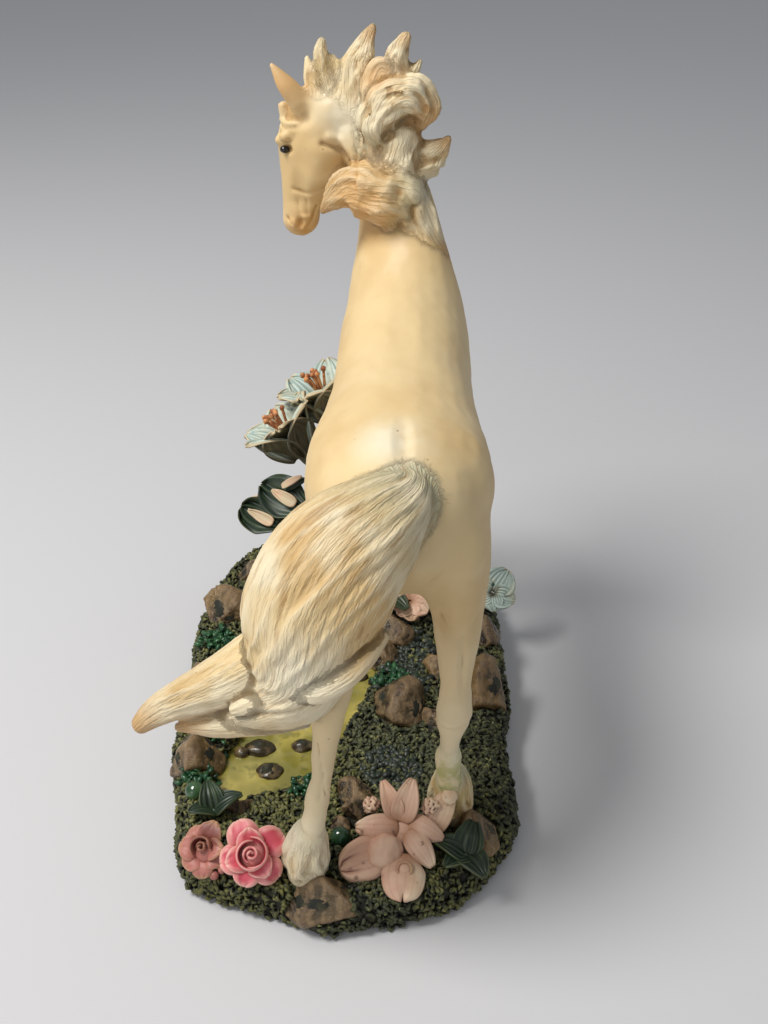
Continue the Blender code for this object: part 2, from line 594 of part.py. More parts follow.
def build_ground(seats):
    bm = bmesh.new()
    below = -3.0
    add_slab(bm, OUTLINE, [
        (below, 1.0), (1.0, 0.6), (3.0, 0.0), (SURFACE - EDGE_ROUND, 0.4),
        (SURFACE - 0.4 * EDGE_ROUND, 0.5 * EDGE_ROUND), (SURFACE, 1.6 * EDGE_ROUND)])
    for x, y, z, rx, ry, rz, turn in STONES:
        add_boulder(bm, (*spot(x, y), SURFACE + z), (rx, ry, rz), turn, rough=0.16)
    add_boulder(bm, (*RIGHT_FORE_HOOF, SURFACE - 4), (17, 18, FORE_MOUND_HEIGHT + 5.5))
    add_boulder(bm, (*spot(-26, 66), SURFACE - 4), (15, 13, 10))
    add_boulder(bm, (*spot(40, 34), SURFACE - 3), (9, 10, 8))
    ground = solid("ground", bm, finish("mossy_ground", (0.055, 0.06, 0.03), 0.85))
    fuse(ground, GROUND_VOXEL, GROUND_TRIANGLES, smoothing=2, relief=moss_relief)
    cut_flat(ground, 0.0)
    dug = tool_group("pool_room")
    recess = bmesh.new()
    add_slab(recess, POOL_OUTLINE, [
        (SURFACE - POOL_DROP - POOL_THICKNESS - SEAT_GAP, -SEAT_GAP), (SURFACE + 30, -SEAT_GAP)], steps=2)
    hidden(solid("pool_recess", recess, None, dug))
    for name, x, y, radius, floor, stretch in seats:
        post_cutter("seat_" + name, dug, x, y, radius, floor, SURFACE + 60, stretch=stretch)
    boolean(ground, dug)
    boolean(ground, pebbles("pebbles", 0.0), "UNION")


def pebbles(name, grow):
    """Stones that rise from the floor of the pool, at their size or with room around them."""
    group = tool_group(name)
    for x, y, rx, ry in PEBBLES:
        bm = bmesh.new()
        rise = PEBBLE_RISE + POOL_THICKNESS + 0.6
        add_boulder(bm, (*spot(x, y), SURFACE - POOL_DROP - 1.0), (rx + grow, ry + grow, rise + grow), detail=1)
        hidden(solid(name, bm, None, group))
    return group


def build_pool():
    bm = bmesh.new()
    top = SURFACE - POOL_DROP
    add_slab(bm, POOL_OUTLINE, [(top - POOL_THICKNESS, 0.0), (top - 0.4, 0.0), (top, 0.5)], steps=2)
    pool = solid("pool", bm, finish("tinted_pool", (0.42, 0.36, 0.08), 0.12))
    boolean(pool, pebbles("pebble_room", SEAT_GAP))


# Flowers, leaves and berries; each stands on a peg in a seat of the ground

def frame_at(x, y, z, tilt=0.0, heading=0.0):
    """Place of a flower: its middle, and how far and which way its face leans."""
    lean = Matrix.Rotation(math.radians(tilt), 4, Vector((-math.sin(math.radians(heading)),
                                                         math.cos(math.radians(heading)), 0.0)))
    return Matrix.Translation((x, y, z)) @ lean


def build_rose(name, x, y, radius, colour, triangles, turn):
    """Rose: a wound bud inside two rings of rolled petals, on a peg."""
    bm = bmesh.new()
    floor = SURFACE - SEAT_DEPTH + SEAT_GAP + ROSE_LIFT
    place = frame_at(x, y, floor + 0.55 * radius, 22, -80)
    for ring, (petals, reach, rise, curl) in enumerate(((5, 1.0, 8, 52), (4, 0.86, 38, 46), (3, 0.66, 66, 18))):
        for k in range(petals):
            heading = turn + 360 * k / petals + 31 * ring
            add_petal(bm, place, radius * reach * 1.08, radius * 1.25 * reach, heading, rise, curl, 0.45, PETAL_THICKNESS)
    bud = []
    for step in range(18):
        angle = math.radians(turn + 42 * step)
        out = radius * (0.07 + 0.017 * step)
        centre = place @ Vector((math.cos(angle) * out, math.sin(angle) * out, radius * (0.92 - 0.016 * step)))
        bud.append((*centre, PETAL_THICKNESS * 0.5, radius * 0.24))
    add_limb(bm, bud, up=(0, 0, 1), sides=8, steps=2)
    core = place @ Vector((0, 0, radius * 0.42))
    add_boulder(bm, core, (radius * 0.5, radius * 0.5, radius * 0.42))
    add_peg(bm, x, y, floor + 0.4 * radius, SURFACE - PEG_DEPTH)
    rose = solid(name, bm, finish(name + "_paint", colour, 0.5))
    fuse(rose, FLOWER_VOXEL, triangles, smoothing=1)
    cut_flat(rose, SURFACE - PEG_DEPTH)
    return rose


# Petals of the magnolia-like cluster, drawn for a spread of 28 about its middle: start x, y and
# height, length, width, heading, rise and curl
BLOSSOM_DRAWN = 28.0
BLOSSOM_PETALS = [
    (-0.5, 2.5, 7.0, 12.5, 8.0, 112, 52, 12), (1.5, 2.5, 7.0, 12.0, 8.0, 74, 50, 10),
    (-2.5, 1.5, 6.0, 11.5, 8.5, 150, 30, 20), (3.5, 1.5, 6.0, 10.5, 8.5, 34, 34, 20),
    (0.5, 0.5, 7.5, 9.0, 7.0, 95, 70, 16), (4.0, -0.5, 5.0, 9.5, 9.0, -16, 20, 30),
    (-3.5, -0.5, 4.0, 9.0, 9.5, 196, 16, 40), (1.0, -1.5, 4.5, 10.5, 10.0, -84, 14, 24),
    (-6.0, -0.5, 2.6, 9.5, 8.5, 208, 8, 20), (-2.0, 0.5, 8.5, 6.0, 5.5, 200, 62, 20)]
BLOSSOM_LUMPS = [
    (0.0, 0.0, 4.6, 5.2, 4.6, 4.4), (-5.4, -2.9, 5.6, 4.6, 3.8, 4.2), (1.4, -7.9, 4.4, 3.4, 3.6, 4.0),
    (7.6, 7.5, 5.6, 2.4, 2.4, 2.2)]
BLOSSOM_STALK = [(3, 3.5, 4, 1.6), (7.6, 7.5, 5.2, 1.3)]
BLOSSOM_PLACE = spot(13.6, -74.0)
BLOSSOM_SEAT_RADIUS = BLOSSOM_SPREAD * 0.475


def build_blossom():
    """Pale blossom: upright magnolia petals, two spreading ones and a round bud below."""
    bm = bmesh.new()
    grow = BLOSSOM_SPREAD / BLOSSOM_DRAWN
    floor = SURFACE - SEAT_DEPTH + SEAT_GAP
    middle = Vector((*BLOSSOM_PLACE, floor))
    for x, y, z, length, width, heading, rise, curl in BLOSSOM_PETALS:
        place = Matrix.Translation(middle + Vector((x, y, z)) * grow)
        add_petal(bm, place, length * grow, width * grow, heading, rise, curl, 0.42, PETAL_THICKNESS * 1.2)
    for x, y, z, *radii in BLOSSOM_LUMPS:
        add_boulder(bm, middle + Vector((x, y, z)) * grow, [r * grow for r in radii])
    stalk = [(*(middle + Vector((x, y, z)) * grow), r * grow, r * grow) for x, y, z, r in BLOSSOM_STALK]
    add_limb(bm, stalk, sides=10)
    add_peg(bm, *BLOSSOM_PLACE, floor + 4, SURFACE - PEG_DEPTH, PEG_RADIUS * 1.5)
    blossom = solid("blossom", bm, finish("peach_blossom", (0.62, 0.40, 0.32), 0.6))
    fuse(blossom, FLOWER_VOXEL * 1.1, BLOSSOM_TRIANGLES, smoothing=1)
    cut_flat(blossom, SURFACE - PEG_DEPTH)
    return blossom


def build_lily(name, root, mouth, tilt, heading, turn):
    """Lily: a stem, a trumpet and five flaring petals about a bunch of stamens."""
    bm = bmesh.new()
    place = frame_at(*mouth, tilt, heading)
    reach = LILY_PETAL_LENGTH
    throat = place @ Vector((0, 0, -reach * 0.95))
    bend = place @ Vector((0, 0, -reach * 1.45))
    r = LILY_STEM_RADIUS
    upright = SURFACE + 10
    add_limb(bm, [(*root, SURFACE - PEG_DEPTH - 1.0, r, r), (*root, upright, r, r), (*root, upright + 4, r, r),
                  (*bend, r * 0.9, r * 0.9), (*throat, r * 1.15, r * 1.15),
                  (*(place @ Vector((0, 0, -reach * 0.4))), r * 2.0, r * 2.0)],
             up=(0, 1, 0), sides=12)
    for k in range(5):
        add_petal(bm, place @ Matrix.Translation((0, 0, -reach * 0.62)), reach,
                  reach * 0.92, turn + 72 * k, 70, -48, 0.3, PETAL_THICKNESS)
    for k in range(3):
        foot = place @ Vector((0, 0, -reach * 0.4))
        stamen = place @ (Vector((0.7 * math.cos(2.1 * k), 0.7 * math.sin(2.1 * k), 1.0)) * 0.2 * reach)
        add_limb(bm, [(*foot, 0.7, 0.7), (*stamen, 0.8, 0.8)], up=(1, 0, 0), sides=8)
    lily = solid(name, bm, finish(name + "_paint", (0.50, 0.58, 0.46), 0.55))
    fuse(lily, FLOWER_VOXEL * 1.25, LILY_TRIANGLES, smoothing=1)
    cut_flat(lily, SURFACE - PEG_DEPTH)
    return lily


def build_open_flower(name, x, y, head, petals, length, colour, tilt, heading):
    """Small open flower on a short stem; head is how far its face leans out and stands up."""
    bm = bmesh.new()
    out, stem = head
    place = frame_at(x + out, y, SURFACE + stem, tilt, heading)
    for k in range(petals):
        add_petal(bm, place, length, length * 0.95, 20 + 360 * k / petals, 22, 22, 0.4, PETAL_THICKNESS)
    add_boulder(bm, place @ Vector((0, 0, 0.8)), (length * 0.26, length * 0.26, length * 0.24))
    add_limb(bm, [(x, y, SURFACE - PEG_DEPTH - 1.0, PEG_RADIUS, PEG_RADIUS), (x, y, SURFACE, PEG_RADIUS, PEG_RADIUS),
                  (x, y, SURFACE + 1.5, PEG_RADIUS, PEG_RADIUS),
                  (x + out, y, SURFACE + stem + 0.4, PEG_RADIUS, PEG_RADIUS)], up=(0, 1, 0), sides=12)
    flower = solid(name, bm, finish(name + "_paint", colour, 0.55))
    fuse(flower, FLOWER_VOXEL, OPEN_FLOWER_TRIANGLES, smoothing=1)
    cut_flat(flower, SURFACE - PEG_DEPTH)
    return flower


def build_leaves(name, x, y, height, size, blades, colour, triangles):
    """Spray of leaves from one peg; blades are the shares of the size that a leaf is long and
    wide, with its heading, rise and curl."""
    bm = bmesh.new()
    for length, width, heading, rise, curl in blades:
        add_petal(bm, Matrix.Translation((x, y, height)), length * size, width * size, heading, rise, curl,
                  0.25, LEAF_THICKNESS, point=0.9)
    add_boulder(bm, (x, y, height), (PEG_RADIUS, PEG_RADIUS, PEG_RADIUS))
    add_peg(bm, x, y, height, SURFACE - PEG_DEPTH)
    spray = solid(name, bm, finish(name + "_paint", colour, 0.45))
    fuse(spray, FLOWER_VOXEL, triangles, smoothing=1)
    cut_flat(spray, SURFACE - PEG_DEPTH)
    return spray


def build_berry(name, x, y):
    """Glossy round berry that sits in a drilled seat."""
    bm = bmesh.new()
    bmesh.ops.create_uvsphere(bm, u_segments=10, v_segments=6, radius=BERRY_RADIUS,
                              matrix=Matrix.Translation((x, y, SOLE + BERRY_RADIUS)))
    berry = solid(name, bm, finish(name + "_paint", (0.05, 0.10, 0.03), 0.2))
    berry.data.shade_smooth()
    cut_flat(berry, SOLE + 0.35)
    return berry


# Assembly

DARK_GREEN = (0.02, 0.07, 0.03)
ROSE = ("rose_large", *spot(-26.0, -79.4))
SMALL_ROSE = ("rose_small", *spot(-40.4, -74.6))
LEAF_ROSE = ("leaf_by_rose", *spot(-39.0, -60.5))
LEAF_BLOSSOM = ("leaf_by_blossom", *spot(33.6, -76.8))
LEAF_CREAM = ("leaf_cream_edge", *spot(-30.0, 64.0))
GRASS = ("grass_leaves", *spot(8.0, 36.0))
SIDE_FLOWER = ("side_flower", *spot(45.0, 38.0))
PINK_FLOWER = ("pink_flower", *spot(22.0, 33.0))
LILY_LOW = ("lily_lower", *spot(-22.0, 56.0))
LILY_HIGH = ("lily_upper", *spot(-15.0, 66.0))
LOW_MOUTH = (*spot(-27.5, 50.5), LILY_HEIGHT * 0.855)
HIGH_MOUTH = (*spot(-15.0, 63.0), LILY_HEIGHT)
LEAF_LIFT = 1.6
CREAM_LEAF_LIFT = 24.0
CREAM_BLADES = [(0.93, 0.76, 200, 26, -30), (0.9, 0.72, 120, 48, -30), (0.8, 0.6, 255, 20, -20),
                (0.95, 0.66, 50, 60, -36)]
LOW_SPRAYS = [
    (LEAF_ROSE, GROUND_LEAF_LENGTH, [(0.9, 0.65, 110, 24, -20), (0.9, 0.6, 20, 20, -16)], LEAF_TRIANGLES),
    (LEAF_BLOSSOM, GROUND_LEAF_LENGTH, [(1.0, 0.75, 60, 18, -14), (0.75, 0.6, -30, 14, -10)], LEAF_TRIANGLES),
    (GRASS, GROUND_LEAF_LENGTH, [(1.1, 0.3, heading, 42, -34) for heading in range(150, 500, 58)],
     GRASS_TRIANGLES)]
BERRIES = [("berry_left", *spot(-46.0, -52.0)), ("berry_middle", *spot(-1.8, -69.6))]

peg_floor = SURFACE - PEG_DEPTH - SEAT_GAP
peg_room = PEG_RADIUS + SEAT_GAP
hoof_room = HOOF_WIDTH * 0.5 * 1.06 + SEAT_GAP
seat_floor = SOLE - SEAT_GAP

build_horse()
build_pool()
build_rose(*ROSE, ROSE_RADIUS, (0.62, 0.12, 0.15), ROSE_TRIANGLES, 12)
build_rose(*SMALL_ROSE, SMALL_ROSE_RADIUS, (0.42, 0.12, 0.10), SMALL_ROSE_TRIANGLES, 40)
build_blossom()
build_lily("lily_lower", LILY_LOW[1:], LOW_MOUTH, 52, 208, 10)
build_lily("lily_upper", LILY_HIGH[1:], HIGH_MOUTH, 46, 226, 40)
build_open_flower(*SIDE_FLOWER, (6.0, 11.0), 5, SIDE_PETAL_LENGTH, (0.45, 0.55, 0.38), 40, 0)
build_open_flower(*PINK_FLOWER, (0.0, 8.0), 5, PINK_PETAL_LENGTH, (0.66, 0.42, 0.38), 35, -100)
for spray, size, blades, triangles in LOW_SPRAYS:
    build_leaves(*spray, SURFACE + LEAF_LIFT, size, blades, DARK_GREEN, triangles)
build_leaves(*LEAF_CREAM, SURFACE + CREAM_LEAF_LIFT, CREAM_LEAF_LENGTH, CREAM_BLADES, (0.03, 0.09, 0.04),
             CREAM_LEAF_TRIANGLES)
for berry in BERRIES:
    build_berry(*berry)

seats = [("right_hind", *RIGHT_HIND_HOOF, hoof_room, seat_floor, HOOF_STRETCH),
         ("left_hind", *LEFT_HIND_HOOF, hoof_room, seat_floor, HOOF_STRETCH),
         ("right_fore", *RIGHT_FORE_HOOF, hoof_room, seat_floor + FORE_MOUND_HEIGHT, HOOF_STRETCH)]
for (name, x, y), room in ((ROSE, ROSE_RADIUS * 1.3), (SMALL_ROSE, SMALL_ROSE_RADIUS * 1.3)):
    seats.append((name, x, y, room, seat_floor, 1.0))
seats.append(("blossom", *BLOSSOM_PLACE, BLOSSOM_SEAT_RADIUS, seat_floor, 1.0))
seats.append(("blossom_peg", *BLOSSOM_PLACE, PEG_RADIUS * 1.5 + 2 * SEAT_GAP, peg_floor, 1.0))
for (name, x, y), size, blades, triangles in LOW_SPRAYS:
    reach = max(blade[0] for blade in blades) * size
    seats.append((name, x, y, reach + SEAT_GAP, SURFACE, 1.0))
for name, x, y in (ROSE, SMALL_ROSE, LEAF_ROSE, LEAF_BLOSSOM, LEAF_CREAM, GRASS, SIDE_FLOWER, PINK_FLOWER):
    seats.append((name + "_peg", x, y, peg_room, peg_floor, 1.0))
for name, x, y in (LILY_LOW, LILY_HIGH):
    seats.append((name + "_peg", x, y, LILY_STEM_RADIUS + SEAT_GAP, peg_floor, 1.0))
for name, x, y in BERRIES:
    seats.append((name, x, y, BERRY_RADIUS + SEAT_GAP, SOLE + 0.35 - SEAT_GAP, 1.0))
build_ground(seats)
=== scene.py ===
import math

import bmesh
import bpy
import numpy as np
from mathutils import Matrix, Vector, kdtree, noise


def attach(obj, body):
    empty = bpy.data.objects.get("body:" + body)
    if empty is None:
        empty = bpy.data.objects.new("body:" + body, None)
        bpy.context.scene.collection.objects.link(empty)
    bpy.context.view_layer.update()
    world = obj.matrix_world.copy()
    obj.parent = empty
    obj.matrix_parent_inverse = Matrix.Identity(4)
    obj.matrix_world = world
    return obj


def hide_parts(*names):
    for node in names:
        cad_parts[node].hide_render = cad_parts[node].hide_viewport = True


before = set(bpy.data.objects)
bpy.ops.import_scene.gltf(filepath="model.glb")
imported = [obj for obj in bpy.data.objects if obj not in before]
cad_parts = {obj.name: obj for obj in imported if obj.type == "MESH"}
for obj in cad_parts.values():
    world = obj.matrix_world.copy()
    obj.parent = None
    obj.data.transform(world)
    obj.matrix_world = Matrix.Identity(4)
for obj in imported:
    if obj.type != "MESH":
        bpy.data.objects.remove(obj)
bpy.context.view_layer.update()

MM = 0.001


# Camera, floor and light
# The ornament stands on a plain pale table under soft daylight from the upper left. The camera
# looks down on it from behind, as the photograph was taken.

view = bpy.data.cameras.new("view")
view.sensor_fit = "VERTICAL"
view.sensor_height = 36.0
view.lens = 38.67
view.clip_start = 0.005
camera = bpy.data.objects.new("view", view)
camera.location = (0.0106, -0.287, 0.259)
camera.rotation_euler = (math.radians(90 - 32), 0, 0)
bpy.context.scene.collection.objects.link(camera)
bpy.context.scene.camera = camera
bpy.context.scene.view_settings.view_transform = "Standard"

bpy.ops.object.select_all(action="DESELECT")
bpy.ops.mesh.primitive_plane_add(size=4.0, location=(0, 0, -0.0002))
table = bpy.context.object
table.name = "pale_table"
paint = bpy.data.materials.new("pale_table_paint")
paint.use_nodes = True
paint.node_tree.nodes["Principled BSDF"].inputs["Base Color"].default_value = (0.60, 0.60, 0.61, 1)
paint.node_tree.nodes["Principled BSDF"].inputs["Roughness"].default_value = 0.8
table.data.materials.append(paint)

sky = bpy.data.worlds.new("studio")
bpy.context.scene.world = sky
sky.use_nodes = True
sky.node_tree.nodes["Background"].inputs["Color"].default_value = (0.93, 0.96, 1.0, 1)
sky.node_tree.nodes["Background"].inputs["Strength"].default_value = 0.36


def lamp(name, place, target, size, power, colour):
    light = bpy.data.lights.new(name, "AREA")
    light.shape = "DISK"
    light.size = size
    light.energy = power
    light.color = colour
    holder = bpy.data.objects.new(name, light)
    holder.location = place
    holder.rotation_euler = (Vector(target) - Vector(place)).to_track_quat("-Z", "Y").to_euler()
    bpy.context.scene.collection.objects.link(holder)


lamp("window", (-0.46, -0.14, 0.86), (0, 0, 0.1), 0.4, 8.0, (1.0, 0.98, 0.95))
lamp("fill", (-0.5, -0.8, 0.5), (0, 0, 0.1), 0.6, 1.3, (1.0, 0.97, 0.93))


# Horse casting
# One solid casting of cream resin: trunk, legs, head, mane and tail come out of the same
# mould. It is painted cream, washed with ochre that stays in the grooves, and varnished.

def smooth_rows(rows, steps):
    """Catmull-Rom curve through rows of numbers: x, y, z, half width, half depth."""
    result = []
    last = len(rows) - 1
    for span in range(last):
        quad = (rows[max(span - 1, 0)], rows[span], rows[span + 1], rows[min(span + 2, last)])
        for step in range(steps):
            t = step / steps
            result.append([0.5 * (2 * b + (c - a) * t + (2 * a - 5 * b + 4 * c - d) * t * t
                                  + (3 * b - a - 3 * c + d) * t ** 3) for a, b, c, d in zip(*quad)])
    result.append(list(rows[-1]))
    return result


def add_limb(bm, rows, up, sides, steps, relief=None, samples=None):
    """Loft of elliptical rings in millimetres; relief(angle, share, size) raises or sinks the skin."""
    rows = smooth_rows(rows, steps)
    up = Vector(up).normalized()
    centres = [Vector(row[:3]) for row in rows]
    last = len(rows) - 1
    width = sum(row[3] for row in rows) / len(rows)
    travelled = rows[0][0] * 3.1
    rings = []
    for index, row in enumerate(rows):
        travelled += (centres[index] - centres[max(index - 1, 0)]).length / 9
        tangent = (centres[min(index + 1, last)] - centres[max(index - 1, 0)]).normalized()
        side = tangent.cross(up).normalized()
        rise = side.cross(tangent).normalized()
        share = index / last
        ring = []
        for k in range(sides):
            angle = math.tau * k / sides
            reach = side * (row[3] * math.cos(angle)) + rise * (row[4] * math.sin(angle))
            if relief:
                reach += reach.normalized() * relief(angle, share, min(row[3], row[4]))
            place = centres[index] + reach
            ring.append(bm.verts.new(place))
            if samples is not None and k % 2 == 0:
                samples.append((place, share, (width * math.cos(angle), width * math.sin(angle), travelled)))
        rings.append(ring)
    for ring, following in zip(rings, rings[1:]):
        for k in range(sides):
            n = (k + 1) % sides
            bm.faces.new((ring[k], ring[n], following[n], following[k]))
    for ring, end, inner in ((rings[0], 0, 1), (rings[-1], last, last - 1)):
        outward = (centres[end] - centres[inner]).normalized()
        tip = bm.verts.new(centres[end] + outward * min(rows[end][3], rows[end][4]) * 0.7)
        for k in range(sides):
            bm.faces.new((ring[k], ring[(k + 1) % sides], tip))


def add_boulder(bm, centre, radii, rough=0.0, detail=3):
    """Rounded lump: an icosphere stretched and knocked out of true by noise."""
    made = bmesh.ops.create_icosphere(bm, subdivisions=detail, radius=1.0)["verts"]
    for vert in made:
        bump = 1.0 + rough * noise.noise(vert.co * 1.7 + Vector(centre) * 0.37)
        local = Vector((vert.co.x * radii[0], vert.co.y * radii[1], vert.co.z * radii[2])) * bump
        vert.co = Vector(centre) + local


def settle_piece(name, bm):
    """Object at the origin from a mesh drawn in millimetres."""
    bmesh.ops.recalc_face_normals(bm, faces=bm.faces)
    bmesh.ops.scale(bm, vec=(MM, MM, MM), verts=bm.verts)
    mesh = bpy.data.meshes.new(name)
    bm.to_mesh(mesh)
    bm.free()
    made = bpy.data.objects.new(name, mesh)
    bpy.context.scene.collection.objects.link(made)
    return made


def pick(item):
    bpy.ops.object.select_all(action="DESELECT")
    item.select_set(True)
    bpy.context.view_layer.objects.active = item


def apply_step(item, kind, **settings):
    """Adds one modifier with its settings and applies it."""
    pick(item)
    step = item.modifiers.new(kind.lower(), kind)
    for key, value in settings.items():
        setattr(step, key, value)
    bpy.ops.object.modifier_apply(modifier=step.name)


def casting_copy(name, node):
    """Copy of a solid of the frame, its loose triangles merged into one skin."""
    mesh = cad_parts[node].data.copy()
    bm = bmesh.new()
    bm.from_mesh(mesh)
    bmesh.ops.remove_doubles(bm, verts=bm.verts, dist=0.00001)
    bm.to_mesh(mesh)
    bm.free()
    mesh.materials.clear()
    made = bpy.data.objects.new(name, mesh)
    bpy.context.scene.collection.objects.link(made)
    return made


def join(target, others):
    pick(target)
    for other in others:
        other.select_set(True)
    bpy.ops.object.join()


def thin_to(item, triangles):
    item.data.calc_loop_triangles()
    count = len(item.data.loop_triangles)
    if count > triangles:
        apply_step(item, "DECIMATE", ratio=triangles / count)


def strands(fineness, depth, twist, seed, stretch=1.6):
    """Relief of combed hair: crests and valleys of uneven width that run along the lock."""
    def relief(angle, share, size):
        fade = min(1.0, 0.25 + share * 7.0) * min(1.0, (1.0 - share) * 5.0)
        total = 0.0
        for scale, weight in ((1.0, 0.55), (2.1, 0.33), (4.3, 0.2)):
            phase = angle + twist * share + 0.22 * math.sin(5.0 * share + seed)
            spot = Vector((math.cos(phase) * fineness * scale, math.sin(phase) * fineness * scale,
                           share * stretch * scale ** 0.5 + seed * 7.3))
            total += weight * (0.42 - 2.0 * abs(noise.noise(spot)))
        return fade * min(1.0, size / 4.0) * depth * total * 2.0
    return relief


GROUND = 12.0


def lift(rows):
    return [(x, y, z + GROUND, w, d) for x, y, z, w, d in rows]


hair_samples = []
hair = bmesh.new()

# Tail: a full bulb that leaves the dock, swings to the left and divides into two tips
TAIL = lift([
    (16.5, -56, 110, 4, 4), (15.5, -64, 111.5, 7.2, 7), (9.5, -71, 109.5, 12.2, 9.6),
    (0.5, -78, 103, 16.0, 11.4), (-6, -82, 92.5, 16.4, 11.5), (-8.6, -84, 82, 14.0, 11.0),
    (-12, -85.4, 72.5, 10.8, 9.6), (-20, -85.6, 66, 6.8, 7), (-27, -85.6, 62.4, 3.6, 3.6)])
UPPER_TIP = lift([
    (-8, -81, 86, 6, 5), (-18, -82.4, 78, 7.6, 6), (-28, -83.6, 71.8, 6.6, 5.4), (-38, -84, 66.6, 5, 4.4),
    (-45.5, -84, 62, 3.7, 3.4), (-50.2, -84, 57.6, 2.2, 2.2)])
LOWER_TIP = lift([
    (-10, -86, 68, 7, 7), (-19, -86.8, 64, 5, 5), (-29, -86.2, 60.6, 3.5, 3.3), (-36, -85, 59, 2.4, 2.3),
    (-40.8, -84, 57.2, 1.1, 1.1)])
TOWARDS_BACK = (0, -0.85, 0.53)
add_limb(hair, TAIL, TOWARDS_BACK, 320, 14, strands(3.4, 0.62, 2.0, 3.1), hair_samples)
add_limb(hair, UPPER_TIP, TOWARDS_BACK, 120, 10, strands(1.7, 0.5, 0.5, 8.4), hair_samples)
add_limb(hair, LOWER_TIP, TOWARDS_BACK, 100, 10, strands(1.5, 0.45, 0.5, 5.2), hair_samples)
# Small knob and a raised band where the tips leave the tail
raised = []
add_limb(hair, lift([(-13, -89, 73, 2.2, 1.8), (-20.0, -91.0, 71.4, 2.4, 2.0),
                     (-25.4, -90.4, 68.5, 1.5, 1.4)]),
         TOWARDS_BACK, 48, 8, strands(1.6, 0.4, 0.5, 2.2), raised)
add_limb(hair, lift([(-15, -89.4, 78.5, 1.6, 1.4), (-6, -94.0, 77.8, 3.2, 2.2), (3, -92.4, 82, 3.0, 2.0),
                     (11, -86, 88, 1.4, 1.2)]), TOWARDS_BACK, 72, 10, strands(1.6, 0.5, 0.5, 4.4), raised)
hair_samples += raised
# Only the top of the tail keeps the greenish colour of the roots
hair_samples = [(place, max(share, 0.45) if place[2] < 112 else share, along)
                for place, share, along in hair_samples]

# Mane: wind-blown locks, rooted in the crest of the neck
LOCKS = [
    [(-4, 55, 173, 4.4, 3.4), (-7.6, 54, 180, 3.6, 3), (-9.8, 53, 185, 2.4, 2.2),
     (-9.6, 52.8, 188.4, 1.1, 1.1)],
    [(-1.6, 55, 174, 4.2, 3.6), (-5.6, 53.6, 183, 3.2, 2.8), (-7.4, 53, 190, 2.5, 2.4),
     (-7.2, 53, 194.8, 1.2, 1.2)],
    [(1.6, 54.6, 174, 4.2, 3.6), (-2.6, 53.6, 182, 3.0, 2.8), (-4.2, 53, 187.6, 2.1, 2),
     (-4.2, 53, 190.6, 0.9, 0.9)],
    [(5.4, 53, 172, 6.4, 4), (3, 52, 179, 6.4, 4), (2.6, 51.4, 186.6, 5.2, 3.5), (5, 50.8, 193, 3.2, 2.5),
     (7.7, 50, 199, 0.8, 0.8)],
    [(8, 48, 170, 5, 5), (9, 46.4, 178, 4, 4), (8, 45, 183.4, 3.8, 3.8), (10, 44.6, 187.8, 3.3, 3.1),
     (12.4, 45.2, 185, 2.2, 2.2)],
    [(13, 47, 168, 5.2, 5), (14.6, 46.4, 178, 4, 4), (14.4, 46, 187, 3.4, 3.2), (15.2, 45.4, 193.4, 3, 2.8),
     (17.2, 45, 197.4, 1.5, 1.5)],
    [(15.5, 46.4, 182, 2.8, 2.8), (18, 45.6, 186, 2.3, 2.3), (20.9, 45, 190.8, 0.8, 0.8)],
    [(12, 46, 164, 6, 6), (8.6, 41.6, 173.5, 5.2, 5), (12.4, 40.2, 180.8, 5.4, 5),
     (18, 40.2, 182.4, 5.2, 4.8), (22.8, 41, 178.2, 4.1, 3.9), (21.6, 41.4, 172, 1.5, 1.5)],
    [(17, 44, 172, 4, 4), (22, 43.6, 175.4, 3, 3), (26.8, 43, 178.4, 0.8, 0.8)],
    [(16, 46, 158, 6, 6), (21.6, 44, 162, 5.2, 5), (25.8, 42.6, 166, 4, 3.6), (29.5, 41.8, 170, 0.8, 0.8)],
    [(16, 46, 154, 7, 7), (13.4, 42.6, 158, 7.4, 6.6), (14.6, 42, 166, 6.8, 6), (16, 43, 172, 5.4, 5)],
    [(19, 43, 150, 7, 6), (13.6, 39.4, 154, 9.2, 8.2), (6.6, 39.4, 155, 8.8, 7.2), (0, 40.4, 155.4, 6.2, 4.8),
     (-5, 41.4, 151.6, 3.1, 2.7), (-8.1, 42, 148, 0.9, 0.9)],
    [(17, 41, 155, 5.6, 5), (20.6, 37.2, 149, 4.7, 3.9), (24.6, 36.2, 143, 3.3, 2.7),
     (28.3, 37, 137.2, 0.9, 0.9)],
]
for number, lock in enumerate(LOCKS):
    add_limb(hair, lift(lock), (0, -1, 0.4), 100, 10, strands(1.35, 1.35, 2.4, 0.7 * number, 2.4),
             hair_samples)
locks = settle_piece("locks", hair)

